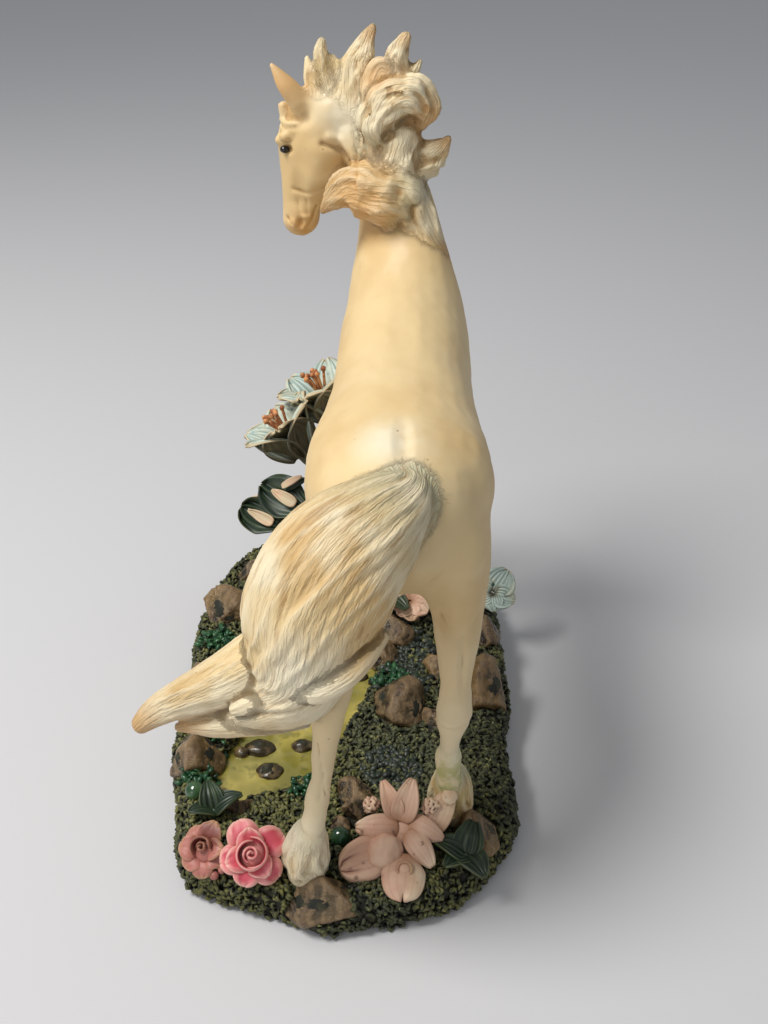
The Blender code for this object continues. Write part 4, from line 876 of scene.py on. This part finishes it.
def moss_front(centre, normal):
    return mossy(centre, normal) * ((normal[:, 2] >= 0.8) & (centre[:, 1] < -20))


def moss_back(centre, normal):
    return mossy(centre, normal) * ((normal[:, 2] >= 0.8) & (centre[:, 1] >= -20))


def moss_dark(centre, normal):
    """Coarser curls between the legs and behind them, painted darker for the shade under the body."""
    near = np.hypot((centre[:, 0] - 17) / 12, (centre[:, 1] - 8) / 22) < 1
    near |= np.hypot((centre[:, 0] - 13) / 9, (centre[:, 1] + 42) / 9) < 1
    return mossy(centre, normal) * ((normal[:, 2] >= 0.8) & near)


moss = Finish("moss_flock", 0.6)
tone = moss.mix(moss.attribute("shade"), (0.045, 0.052, 0.014), (0.19, 0.185, 0.05))
tone = moss.mix(moss.times(moss.range(moss.noise(22, 2), 0.45, 0.62), 0.7), tone, (0.05, 0.06, 0.025))
tone = moss.mix(moss.range(moss.attribute("tip"), 0.3, 0.95), (0.004, 0.006, 0.002), tone)
pale = moss.times(moss.range(moss.attribute("tip"), 0.75, 1.0), moss.range(moss.attribute("shade"), 0.7, 1.0))
pale = moss.times(pale, moss.range(moss.noise(30, 2), 0.40, 0.6))
moss.colour(moss.mix(moss.times(pale, 0.75), tone, (0.40, 0.37, 0.13)))
moss.bump(moss.noise(1500, 2), 0.3, 0.0003)
# Dark moss: the coarse curls under the body, painted near black as the shade that falls there
dark = Finish("dark_moss", 0.45)
dark.colour(dark.mix(dark.range(dark.attribute("tip"), 0.3, 1.0), (0.004, 0.006, 0.004),
                     dark.mix(dark.attribute("shade"), (0.010, 0.018, 0.012), (0.04, 0.055, 0.035))))
dark.bump(dark.noise(1500, 2), 0.3, 0.0003)
for name, template, count, seed, allowed, size, coat in (
        ("moss_side", CURL, 4600, 11, moss_side, (0.8, 1.45), moss),
        ("moss_front", CURL, 4200, 12, moss_front, (0.85, 1.5), moss),
        ("moss_back", CURL, 4000, 13, moss_back, (0.85, 1.5), moss),
        ("moss_dark", PEBBLY, 520, 14, moss_dark, (0.9, 1.6), dark)):
    dress(scatter(name, ground, template, count, seed, allowed, size, 0.15), coat, "mossy_ground")

# Ferns: fronds of emerald green that fill the gaps beside the stones
FERN_SPOTS = [(-42, -42, 9), (-45, -26, 5), (14, -2, 6), (-30, -48, 5), (-12, -50, 5), (-48, 20, 5),
              (10, 28, 5)]
FROND = tube_template([(0, 0, -0.4), (0.35, 0.0, 0.8), (0.9, 0.1, 1.6), (1.6, 0.1, 2.1), (2.3, 0, 2.2)],
                      [0.2, 0.45, 0.55, 0.4, 0.1], 4, 1.6)


def ferny(centre, normal):
    near = np.zeros(len(centre))
    for x, y, reach in FERN_SPOTS:
        near[np.hypot(centre[:, 0] - x, centre[:, 1] - y) < reach] = 1
    return near * (normal[:, 2] > 0.3) * mossy(centre, normal)


fern = Finish("fern_green", 0.3)
fern.colour(fern.mix(fern.range(fern.attribute("tip"), 0.2, 1.0), (0.004, 0.02, 0.010),
                     fern.mix(fern.attribute("shade"), (0.006, 0.045, 0.018), (0.03, 0.11, 0.035))))
fern.bump(fern.noise(1200, 2), 0.3, 0.0003)
fronds = scatter("ferns", ground, FROND, 420, 21, ferny, (0.8, 1.5), 0.1)
dress(fronds, fern, "mossy_ground")


# Pool
# Tinted resin poured into the hollow of the ground: glossy, yellow-green, with a wavy skin.

pool = casting_copy("pool_resin", "pool")
apply_step(pool, "REMESH", mode="VOXEL", voxel_size=0.55 * MM)
apply_step(pool, "SMOOTH", factor=0.5, iterations=3)
points = coordinates(pool)
facing = normals(pool)
waves = np.array([noise.noise(Vector((p[0] * 0.16, p[1] * 0.10, 0.0))) + 0.5 * noise.noise(Vector(p) * 0.4)
                  for p in points])
place_vertices(pool, points + facing * (0.35 * waves * (facing[:, 2] > 0.5))[:, None])
pool.data.shade_smooth()
water = Finish("pool_gloss", 0.1)
depth_tone = water.mix(water.range(water.noise(38, 3), 0.38, 0.66), (0.20, 0.18, 0.035), (0.56, 0.46, 0.12))
depth_tone = water.mix(water.times(water.range(water.noise(150, 3), 0.55, 0.7), 0.6), depth_tone,
                       (0.07, 0.08, 0.02))
water.colour(depth_tone)
water.bump(water.noise(110, 2), 0.15, 0.0008)
water.shader.inputs["Coat Weight"].default_value = 0.6
water.shader.inputs["Coat Roughness"].default_value = 0.05
dress(pool, water, "tinted_pool", "pool")

# Pebbles: dark stones that stand out of the pool
pebble_bm = bmesh.new()
for x, y, rx, ry in ((-25, -39, 4.2, 3.4), (-15.5, -28, 3.4, 2.8), (-29, -29, 4.8, 3.6), (-7, -14, 2.8, 2.4),
                     (2, 6, 3.2, 2.6), (-34.5, -31, 2.6, 2.2)):
    add_boulder(pebble_bm, (x, y, 8.4), (rx, ry, 2.2), rough=0.3)
pebbles = settle_piece("pebbles", pebble_bm)
pebbles.data.shade_smooth()
wet = Finish("wet_pebble", 0.25)
wet.colour(wet.mix(wet.range(wet.noise(260, 3), 0.4, 0.65), (0.035, 0.026, 0.012), (0.16, 0.11, 0.05)))
wet.bump(wet.noise(600, 3), 0.3, 0.0004)
dress(pebbles, wet, "mossy_ground")


# Roses
# Two moulded resin roses glued in at the left front: one bright pink, one faded. Petals are
# pink in the throat and cream along their worn rims, and the bud is wound like a scroll.

def petal(place, base, tip, width, lift, bow, cup, roll, ruffle, point=0.5, notch=0.0, seed=0.0):
    """One petal pressed from a sheet: a grid drawn out from its base to its tip in millimetres.

    base and tip lie in the flower's face plane, lift raises the tip out of it, bow arches the
    midrib, cup raises the sides, roll turns the rim down and ruffle waves it. A point below 0
    gives a broad petal with a round end, and notch nicks the tip.
    """
    bpy.ops.object.select_all(action="DESELECT")
    bpy.ops.mesh.primitive_grid_add(x_subdivisions=16, y_subdivisions=12, size=2.0)
    sheet = bpy.context.object
    base = Vector((*base, 0.0)) if len(base) == 2 else Vector(base)
    tip = Vector((*tip, lift)) if len(tip) == 2 else Vector(tip)
    along = tip - base
    side = Vector((0, 0, 1)).cross(along).normalized()
    out = along.normalized().cross(side)
    lengths = []
    rims = []
    across = []
    for vert in sheet.data.vertices:
        t = 0.5 * (vert.co.x + 1.0)
        v = vert.co.y
        across.append(v)
        half = 0.5 * width * math.sin(math.pi * (0.10 + 0.88 * t ** (1.0 - point * 0.4))) ** 0.62
        if point < 0:
            half = 0.5 * width * min(1.0, 0.45 + 1.4 * t) * max(0.012, 1.0 - t ** 4.5) ** 0.5
        rim = max(abs(v) ** 2.2, t ** 3)
        height = bow * math.sin(math.pi * t) + cup * half * v * v - roll * rim ** 2
        height += ruffle * t * math.sin(9.0 * v + 3.0 * t + seed) * (abs(v) ** 1.5 + t ** 4)
        reach = t * (1.0 - notch * max(0.0, 1.0 - abs(v) * 3.0) * t ** 6)
        vert.co = base + along * reach + side * (half * v) + out * height
        lengths.append(t)
        rims.append(max(abs(v), t) ** 2)
    write_attribute(sheet, "along", np.array(lengths))
    write_attribute(sheet, "rim", np.array(rims))
    write_attribute(sheet, "across", np.array(across))
    sheet.data.transform(place)
    apply_step(sheet, "SOLIDIFY", thickness=0.8, offset=0.0)
    apply_step(sheet, "SUBSURF", levels=1, render_levels=1)
    return sheet


def lump(place, centre, radii, seed=0.0, rough=0.0):
    """A round bud, knob or berry of a flower."""
    bpy.ops.object.select_all(action="DESELECT")
    bpy.ops.mesh.primitive_ico_sphere_add(subdivisions=4, radius=1.0)
    ball = bpy.context.object
    for vert in ball.data.vertices:
        bump = 1.0 + rough * noise.noise(vert.co * 3.0 + Vector((seed, 0, seed)))
        local = Vector((vert.co.x * radii[0], vert.co.y * radii[1], vert.co.z * radii[2])) * bump
        vert.co = Vector(centre) + local
    mark_flat(ball, 0.5, 0.2)
    ball.data.transform(place)
    return ball


def mark_flat(item, along, rim):
    for name, value in (("along", along), ("rim", rim), ("across", 0.0)):
        write_attribute(item, name, np.full(len(item.data.vertices), value))


def drawn_limb(name, rows, up, sides, steps, along, rim, place=None):
    """A loft for a flower, kept in millimetres until the flower is gathered."""
    bm = bmesh.new()
    add_limb(bm, rows, up, sides, steps)
    made = settle_piece(name, bm)
    made.data.transform(Matrix.Scale(1 / MM, 4))
    mark_flat(made, along, rim)
    if place:
        made.data.transform(place)
    return made


def scroll(place, turns, first, reach, height, fall, thick, deep, start):
    """A rolled strip of a rose, whose top edge is a spiral that sinks as it widens."""
    rows = []
    steps = int(turns * 14)
    for k in range(steps + 1):
        share = k / steps
        angle = start + math.tau * turns * share
        out = first + (reach - first) * share
        wave = 0.25 * math.sin(3 * angle)
        ends = min(1.0, 0.45 + 4.0 * min(share, 1.0 - share))
        spot = (out * math.cos(angle), out * math.sin(angle), height - fall * share + wave)
        rows.append((*spot, thick * ends, deep * ends))
    return drawn_limb("scroll", rows, (0, 0, 1), 20, 2, 0.5, 0.75, place)


def gather(name, members, heart=None):
    """Joins the parts of a flower, in millimetres so far, into one piece of real size.

    heart is a point over the throat: skin that faces it is marked as the inside.
    """
    join(members[0], members[1:])
    flower = members[0]
    flower.name = name
    flower.data.name = name
    flower.data.transform(Matrix.Scale(MM, 4))
    flower.data.shade_smooth()
    mark_hollows(flower, 5, 0.25)
    inside = np.ones(len(flower.data.vertices))
    if heart is not None:
        towards = np.array(heart) - coordinates(flower)
        towards /= np.linalg.norm(towards, axis=1)[:, None]
        inside = np.clip(0.5 + 2.5 * (towards * normals(flower)).sum(1), 0, 1)
    write_attribute(flower, "inside", inside)
    return flower


def facing_frame(x, y, z, tilt, heading):
    """Face plane of a flower: its middle, and how far and which way it leans from the vertical.

    In the plane, +X points to the right as the leaning flower is faced and +Y points up.
    """
    heading = math.radians(heading)
    tilt = math.radians(tilt)
    normal = Vector((math.sin(tilt) * math.cos(heading), math.sin(tilt) * math.sin(heading), math.cos(tilt)))
    right = Vector((0, 0, 1)).cross(normal).normalized()
    rise = normal.cross(right)
    return Matrix.Translation((x, y, z)) @ Matrix((right, rise, normal)).transposed().to_4x4()


def fan(angle, start, end):
    """Base and tip of a petal that points at an angle from the middle of its flower."""
    turn = math.radians(angle)
    return (start * math.cos(turn), start * math.sin(turn)), (end * math.cos(turn), end * math.sin(turn))


def set_petals(face_plane, ruffle, rows):
    """Petals of a rose: angle, start, end, width, lift, bow, cup and roll of each."""
    return [petal(face_plane, *fan(angle, start, end), width, tip_lift, bow, cup, roll, ruffle, -1,
                  seed=angle)
            for angle, start, end, width, tip_lift, bow, cup, roll in rows]


rose_face = facing_frame(-25.8, -79.6, 17.6, 38, -84)
rose_parts = [
    scroll(rose_face, 1.6, 0.35, 2.3, 6.4, 1.2, 0.45, 0.9, 0.6),
    lump(rose_face, (0, 0, 1.8), (4.0, 4.0, 3.2)),
    scroll(rose_face, 0.62, 3.5, 4.2, 5.2, 0.7, 0.5, 1.9, 1.4),
    scroll(rose_face, 0.55, 3.6, 4.6, 4.9, 0.6, 0.5, 1.9, 4.4)]
rose_parts += set_petals(rose_face, 0.2, (
    (95, 2.0, 6.4, 7.8, 5.2, 1.0, 0.35, 1.3), (195, 2.2, 6.6, 7.6, 4.4, 1.0, 0.35, 1.3),
    (-55, 2.2, 6.6, 7.6, 4.2, 1.0, 0.35, 1.3), (-108, 2.4, 8.0, 8.0, 2.0, 1.3, 0.2, 1.5),
    (-45, 2.6, 9.2, 8.8, 1.2, 1.4, 0.15, 1.7), (30, 2.6, 9.6, 9.6, 2.4, 1.5, 0.15, 1.8),
    (112, 2.6, 9.6, 9.4, 2.6, 1.5, 0.15, 1.8), (188, 2.6, 8.4, 8.6, 2.2, 1.3, 0.15, 1.6)))
rose = gather("rose_large_petals", rose_parts)
pink = Finish("rose_paint", 0.45)
blush = pink.mix(pink.range(pink.noise(120, 3), 0.42, 0.62), (0.58, 0.075, 0.11), (0.70, 0.17, 0.20))
blush = pink.mix(pink.times(pink.range(pink.attribute("rim"), 0.62, 1.0), 0.75), blush, (0.82, 0.44, 0.37))
blush = pink.mix(pink.range(pink.attribute("hollow"), 0.54, 0.8), blush, (0.36, 0.012, 0.03))
pink.colour(pink.mix(pink.times(pink.range(pink.attribute("hollow"), 0.42, 0.1), 0.45), blush,
                     (0.84, 0.54, 0.44)))
pink.bump(pink.noise(700, 3), 0.2, 0.0003)
dress(rose, pink, "pink_rose", "rose_large")

small_face = facing_frame(-39.0, -76.6, 16.0, 32, -110)
small_parts = [
    scroll(small_face, 1.2, 0.4, 1.5, 5.0, 0.8, 0.42, 0.8, 2.0),
    lump(small_face, (0.6, 0, 1.2), (3.2, 3.4, 2.6)),
    scroll(small_face, 0.6, 2.4, 3.2, 4.2, 0.6, 0.45, 1.7, 0.2),
    lump(small_face, (4.6, -5.6, 0.0), (1.3, 1.3, 1.2)),
    lump(small_face, (6.4, -3.6, 0.4), (1.1, 1.2, 1.1))]
small_parts += set_petals(small_face, 0.25, (
    (84, 1.4, 7.4, 8.0, 4.0, 1.1, 0.3, 1.3), (12, 1.2, 5.4, 6.4, 4.2, 0.9, 0.4, 1.0),
    (190, 1.4, 7.0, 7.4, 3.0, 1.1, 0.3, 1.2), (-78, 1.6, 7.4, 7.0, 0.8, 1.0, 0.2, 1.1),
    (236, 1.8, 7.0, 6.8, 1.6, 1.0, 0.2, 1.1), (140, 1.8, 7.2, 7.0, 2.2, 1.0, 0.25, 1.2),
    (-24, 1.8, 6.4, 6.4, 1.6, 0.9, 0.25, 1.0)))
small_rose = gather("rose_small_petals", small_parts)
faded = Finish("faded_rose_paint", 0.5)
dusk = faded.mix(faded.range(faded.noise(90, 3), 0.42, 0.62), (0.20, 0.06, 0.045), (0.42, 0.15, 0.12))
dusk = faded.mix(faded.times(faded.range(faded.attribute("rim"), 0.6, 1.0), 0.7), dusk, (0.52, 0.31, 0.17))
faded.colour(faded.mix(faded.range(faded.attribute("hollow"), 0.54, 0.8), dusk, (0.14, 0.012, 0.012)))
faded.bump(faded.noise(700, 3), 0.25, 0.0003)
dress(small_rose, faded, "faded_rose", "rose_small")


# Peach blossom
# A magnolia-like cluster between the hind hooves: upright and side petals, a round bud, a broad
# fallen petal and a raised one that holds a ring, all peach with brown specks and dusky patches of painted
# shade.

bloom = facing_frame(16.0, -70.5, 19.5, 44, -90)
bloom_parts = [
    petal(bloom, (-1.4, 1.9), (-5.8, 12.3), 6.2, 0.0, 0.8, 0.5, 0.3, 0.2, 0.9, seed=1),
    petal(bloom, (-0.7, 0.9), (2.8, 12.8), 7.8, 1.0, 0.9, 0.35, 0.4, 0.2, 0.7, seed=2),
    petal(bloom, (1.9, 0.9), (11.3, -3.7), 6.8, 1.5, 1.6, -0.25, 0.3, 0.15, 0.8, seed=3),
    petal(bloom, (1.4, -1.4, 0.8), (8.2, -11.0, 3.4), 7.0, 0.0, 1.6, -0.2, 0.4, 0.3, 0.5, seed=4),
    petal(bloom, (-1.4, -1.0, 0.6), (-13.4, -0.6, 1.4), 8.0, 0.0, 1.8, -0.4, 0.9, 0.3, 0.4, seed=5),
    petal(bloom, (-4.0, -6.0, 0.6), (-17.6, -12.0, 3.8), 12.5, 0.0, 1.0, 0.1, 0.3, 0.9, -1, seed=6),
    petal(bloom, (0.2, -7.6, 2.2), (-0.4, -19.6, 8.4), 12.6, 0.0, 2.0, -0.3, 0.6, 0.2, -1, 0.16, seed=7),
    petal(bloom, (8.0, -2.0), (14.2, 11.0), 7.4, -2.0, 0.8, 0.1, 0.4, 0.3, 0.5, seed=8),
    lump(bloom, (-5.1, -7.2, 1.8), (5.0, 5.3, 4.0), 1.0, 0.08), lump(bloom, (0, -3, -2.6), (5.0, 6.0, 3.4)),
    lump(bloom, (7.9, 5.0, -0.5), (2.5, 2.5, 2.4), 4.0, 0.4),
    lump(bloom, (-9.0, 5.4, -3.0), (2.3, 2.3, 2.2), 7.0, 0.4),
    lump(bloom, (13.2, 7.9, 0.6), (2.2, 2.4, 1.2), 2.0, 0.1), lump(bloom, (0.2, -11.4, 6.4), (1.7, 1.7, 1.0))]
bpy.ops.object.select_all(action="DESELECT")
bpy.ops.mesh.primitive_torus_add(major_radius=2.0, minor_radius=0.5, major_segments=36, minor_segments=12)
ring = bpy.context.object
ring.data.transform(bloom @ Matrix.Translation((0.2, -11.4, 6.9)))
mark_flat(ring, 0.1, 0.9)
bloom_parts.append(ring)
blossom = gather("blossom_petals", bloom_parts)
peach = Finish("peach_paint", 0.5)
flesh = peach.mix(peach.range(peach.noise(70, 3), 0.4, 0.65), (0.64, 0.44, 0.28), (0.80, 0.66, 0.46))
flesh = peach.mix(peach.range(peach.attribute("along"), 0.36, 0.0), flesh, (0.36, 0.24, 0.10))
# Dusky patches of painted shade, scattered by noise
flesh = peach.mix(peach.times(peach.range(peach.noise(38, 2), 0.5, 0.66), 0.5), flesh, (0.44, 0.18, 0.14))
flesh = peach.mix(peach.times(peach.range(peach.ribs("across", 17), 0.3, 1.0), 0.16), flesh,
                  (0.30, 0.13, 0.09))
flesh = peach.mix(peach.times(peach.range(peach.attribute("rim"), 0.86, 1.0), 0.6), flesh, (0.34, 0.20, 0.13))
flesh = peach.mix(peach.range(peach.attribute("hollow"), 0.54, 0.8), flesh, (0.16, 0.05, 0.03))
spots = peach.times(peach.range(peach.cells(300), 0.26, 0.12), peach.range(peach.noise(200), 0.48, 0.56))
peach.colour(peach.mix(peach.times(spots, 0.75), flesh, (0.17, 0.085, 0.055)))
peach.bump(peach.noise(420, 4), 0.4, 0.0006)
dress(blossom, peach, "peach_blossom", "blossom")


# Lilies
# Two trumpet flowers on bent stems at the far left. Their petals are mint inside the throat
# with dark veins and rolled cream rims, the backs are olive brown and the stamens orange.

def trumpet(name, root, mouth, tilt, heading, turn, reach):
    """Six flaring petals on a stem that bends up from the ground."""
    place = facing_frame(*mouth, tilt, heading)
    members = []
    for k in range(6):
        angle = turn + 60 * k
        base, end = fan(angle, reach * 0.13, reach * 0.86)
        members.append(petal(place, (*base, -reach * 0.95), (*end, reach * 0.16), reach * 1.3,
                             0.0, reach * 0.12, 0.24, 1.6, 0.7, 0.1, 0.06, seed=angle))
    bend = place @ Vector((0, 0, -reach * 1.7))
    throat = place @ Vector((0, 0, -reach * 1.1))
    calyx = place @ Vector((0, 0, -reach * 0.7))
    members.append(drawn_limb("stalk", [
        (*root, 9.0, 2.0, 2.0), (*root, 22, 2.0, 2.0), (*root, 26, 2.0, 2.0), (*bend, 1.9, 1.9),
        (*throat, 2.3, 2.3), (*calyx, 3.2, 3.2)], (0, 1, 0), 24, 6, 0.0, 0.0))
    return gather(name, members, place @ Vector((0, 0, reach * 0.5)))


def stamen_bunch(name, mouth, tilt, heading, reach):
    """Eight stamens that spread from one foot in the throat of a lily."""
    bm = bmesh.new()
    place = facing_frame(*mouth, tilt, heading)
    for k in range(8):
        angle = 2.4 * k
        out = reach * (0.06 + 0.035 * k)
        foot = place @ Vector((0, 0, -reach * 0.5))
        head = place @ Vector((out * math.cos(angle), out * math.sin(angle), reach * 0.2))
        add_limb(bm, [(*foot, 0.5, 0.5), (*head, 0.5, 0.5)], (0.3, 1, 0), 10, 3)
        add_boulder(bm, head, (0.95, 0.85, 1.1), rough=0.3, detail=2)
    bunch = settle_piece(name, bm)
    bunch.data.shade_smooth()
    return bunch


mint = Finish("mint_lily_paint", 0.5)
leafy = mint.mix(mint.range(mint.noise(90, 3), 0.4, 0.6), (0.44, 0.55, 0.50), (0.58, 0.62, 0.50))
veins = mint.times(mint.range(mint.ribs("across", 26), 0.3, 0.95), mint.range(mint.noise(120, 2), 0.35, 0.6))
leafy = mint.mix(mint.times(veins, 0.6), leafy, (0.13, 0.19, 0.14))
leafy = mint.mix(mint.times(mint.range(mint.cells(300), 0.3, 0.15), mint.range(mint.noise(150), 0.5, 0.6)),
                 leafy, (0.06, 0.16, 0.15))
back = mint.mix(mint.range(mint.noise(60, 3), 0.4, 0.65), (0.085, 0.072, 0.035), (0.24, 0.21, 0.11))
leafy = mint.mix(mint.attribute("inside"), back, leafy)
leafy = mint.mix(mint.range(mint.attribute("along"), 0.3, 0.0), leafy, (0.07, 0.06, 0.03))
lip = mint.times(mint.range(mint.attribute("rim"), 0.84, 1.0), mint.range(mint.attribute("along"), 0.62, 0.8))
mint.colour(mint.mix(mint.times(lip, 0.85), leafy, (0.66, 0.54, 0.34)))
mint.bump(mint.ribs("across", 26), 0.5, 0.0004)
orange = Finish("stamen_orange", 0.5)
orange.colour(orange.mix(orange.range(orange.noise(400, 2), 0.4, 0.6), (0.30, 0.09, 0.03),
                         (0.62, 0.27, 0.10)))
orange.bump(orange.noise(900, 2), 0.3, 0.0003)
for name, root, mouth, tilt, heading, turn in (
        ("lily_lower", (-22.0, 56.0), (-26.0, 51.0, 84.5), 36, 172, 20),
        ("lily_upper", (-15.0, 66.0), (-13.0, 63.0, 94.0), 24, 176, 50)):
    lily = trumpet(name + "_petals", root, mouth, tilt, heading, turn, 15.5)
    dress(lily, mint, "mint_lily", name)
    bunch = stamen_bunch(name + "_stamens", mouth, tilt, heading, 15.5)
    dress(bunch, orange, "mint_lily")


# Small flowers, leaves and berries
# Pressed leaves in dark green paint, a pale flower at the right edge, a pink one under the
# belly and two glossy green balls, each glued into its own seat.

def posy(name, root, middle, tilt, heading, petals):
    """A small flower on a short stem; petals holds the angle, reach and width of each."""
    face_plane = facing_frame(*middle, tilt, heading)
    members = [petal(face_plane, *fan(angle, 0.7, reach), width, 1.0, 0.6, 0.28, 0.35, 0.5, 0.2, seed=angle)
               for angle, reach, width in petals]
    members.append(drawn_limb("short_stem", [
        (*root, 8.2, 1.5, 1.5), (*root, 13.5, 1.5, 1.5), (middle[0], middle[1], middle[2] - 0.6, 1.4, 1.4)],
        (0, 1, 0), 20, 5, 0.0, 0.0))
    return gather(name, members)


side_flower = posy("side_flower_petals", (45, 38), (50.0, 37.0, 21.5), 52, -100, (
    (62, 10.4, 13.0), (-12, 8.6, 9.6), (-78, 6.6, 8.0), (150, 7.0, 8.0), (215, 6.0, 7.0)))
dress(side_flower, mint, "mint_lily", "side_flower")
pink_flower = posy("pink_flower_petals", (22, 33), (20.0, 33.0, 20.6), 50, -100, (
    (118, 9.6, 9.6), (50, 7.6, 7.6), (-20, 7.6, 7.6), (-75, 7.0, 7.6), (186, 7.4, 7.6), (236, 6.4, 7.0)))
dress(pink_flower, peach, "peach_blossom", "pink_flower")


def spray(name, x, y, z, blades):
    """Leaves from one point of the ground: length, width, heading, rise and arch of each."""
    place = Matrix.Translation((x, y, z))
    members = []
    for length, width, heading, rise, arch in blades:
        turn = math.radians(heading)
        climb = math.radians(rise)
        level = math.cos(climb)
        end = Vector((math.cos(turn) * level, math.sin(turn) * level, math.sin(climb))) * length
        members.append(petal(place, (0, 0, 0), tuple(end), width, 0.0, arch, 0.35, 0.3, 0.15, 1.0,
                             seed=heading))
    members.append(lump(place, (0, 0, -1.5), (1.5, 1.5, 2.6)))
    return gather(name, members)


leaf_paint = Finish("dark_leaf_paint", 0.42)
leaf_tone = leaf_paint.mix(leaf_paint.range(leaf_paint.noise(130, 3), 0.4, 0.65),
                           (0.006, 0.018, 0.008), (0.022, 0.045, 0.018))
leaf_tone = leaf_paint.mix(leaf_paint.times(leaf_paint.range(leaf_paint.ribs("across", 14), 0.5, 1.0), 0.5),
                           leaf_tone, (0.05, 0.075, 0.03))
leaf_tone = leaf_paint.mix(leaf_paint.times(leaf_paint.range(leaf_paint.attribute("rim"), 0.85, 1.0), 0.5),
                           leaf_tone, (0.09, 0.10, 0.035))
leaf_paint.colour(leaf_tone)
leaf_paint.bump(leaf_paint.ribs("across", 14), 0.4, 0.0005)
rose_leaf = spray("rose_leaf_blades", -39, -60.5, 14.2, [
    (9.5, 8.0, 110, 30, 1.4), (9.5, 7.5, 20, 26, 1.2), (8.0, 6.5, 200, 20, 1.0)])
dress(rose_leaf, leaf_paint, "green_leaf", "leaf_by_rose")
blossom_leaf = spray("blossom_leaf_blades", 33.6, -76.8, 14.2, [
    (11.0, 9.0, 75, 18, 1.2), (9.5, 9.0, -60, 6, 0.9), (10.0, 8.5, 160, 16, 1.2), (8.0, 7.0, 215, 8, 0.9)])
dress(blossom_leaf, leaf_paint, "green_leaf", "leaf_by_blossom")
grass = spray("grass_blades", 8, 38, 18.0, [
    (15, 12.0, -42, 12, 2.6), (14, 11.0, -92, 8, 2.4), (12, 7.0, 5, 34, 2.2), (12, 6.5, 60, 34, 2.0),
    (12, 6.5, 120, 34, 2.0), (12, 7.0, 190, 30, 2.2), (12, 7.5, 236, 24, 2.2)])
dress(grass, leaf_paint, "green_leaf", "grass_leaves")

# Leaf with cream blades: three wavy dark lobes and a small one on a stalk, each with a pale blade
lobes = [drawn_limb("leaf_stalk", [(-30, 64, 8.5, 2.0, 2.0), (-30, 64, 20, 2.0, 2.0),
                                   (-29, 64.6, 32, 1.8, 1.8), (-27, 66, 44, 1.4, 1.4)],
                     (0, 1, 0), 20, 5, 0.4, 0.1)]
pale_blades = []
for x, y, z, tilt, heading, size in ((-36.0, 63.5, 38.4, 52, 262, 1.22), (-27.0, 66.0, 45.4, 50, 256, 1.5),
                                     (-33.5, 71, 41.0, 50, 110, 0.9)):
    plane = facing_frame(x, y, z, tilt, heading)
    lobes.append(petal(plane, (5.6 * size, -2.4 * size), (-6.4 * size, 2.2 * size), 11.6 * size,
                       0.4, -1.0, 0.12, 0.3, 1.3, -1, seed=x))
    pale_blades.append(petal(plane, (5.6, -2.6, 1.6), (-4.6, 1.6, 1.6), 4.4,
                             0.0, -0.3, 0.5, 0.2, 0.5, 0.9, 0.0, seed=y))
lobes.append(petal(facing_frame(-22.5, 67, 49.5, 60, 230), (-4, -3), (4.5, 4.2), 3.6,
                   0.6, 0.6, 0.2, 0.2, 0.3, 0.6))
pale_blades.append(petal(facing_frame(-24.5, 66, 50.4, 60, 236), (-2.6, -1.6, 0.8), (4.6, 4.6, 1.0), 2.6,
                         0.0, 0.4, 0.2, 0.2, 0.3, 0.6))
cream_leaf = gather("cream_leaf_lobes", lobes)
dress(cream_leaf, leaf_paint, "green_leaf", "leaf_cream_edge")
blades = gather("cream_leaf_blades", pale_blades)
buff = Finish("cream_blade_paint", 0.5)
buff_tone = buff.mix(buff.range(buff.noise(150, 3), 0.4, 0.62), (0.66, 0.46, 0.30), (0.62, 0.50, 0.32))
buff.colour(buff.mix(buff.range(buff.attribute("hollow"), 0.55, 0.8), buff_tone, (0.22, 0.17, 0.07)))
buff.bump(buff.noise(500, 3), 0.3, 0.0004)
dress(blades, buff, "green_leaf")

# Berries: two glossy green balls
glass = Finish("berry_gloss", 0.12)
glass.colour(glass.mix(glass.range(glass.noise(120, 3), 0.4, 0.65), (0.010, 0.045, 0.018),
                       (0.06, 0.13, 0.05)))
glass.bump(glass.noise(300, 2), 0.12, 0.0004)
glass.shader.inputs["Coat Weight"].default_value = 0.5
for node, x, y in (("berry_left", -46.0, -52.0), ("berry_middle", -1.8, -69.6)):
    berry_bm = bmesh.new()
    add_boulder(berry_bm, (x, y, 13.7), (2.9, 2.9, 2.9), rough=0.04, detail=4)
    berry = settle_piece(node + "_ball", berry_bm)
    berry.data.shade_smooth()
    dress(berry, glass, "green_berry", node)
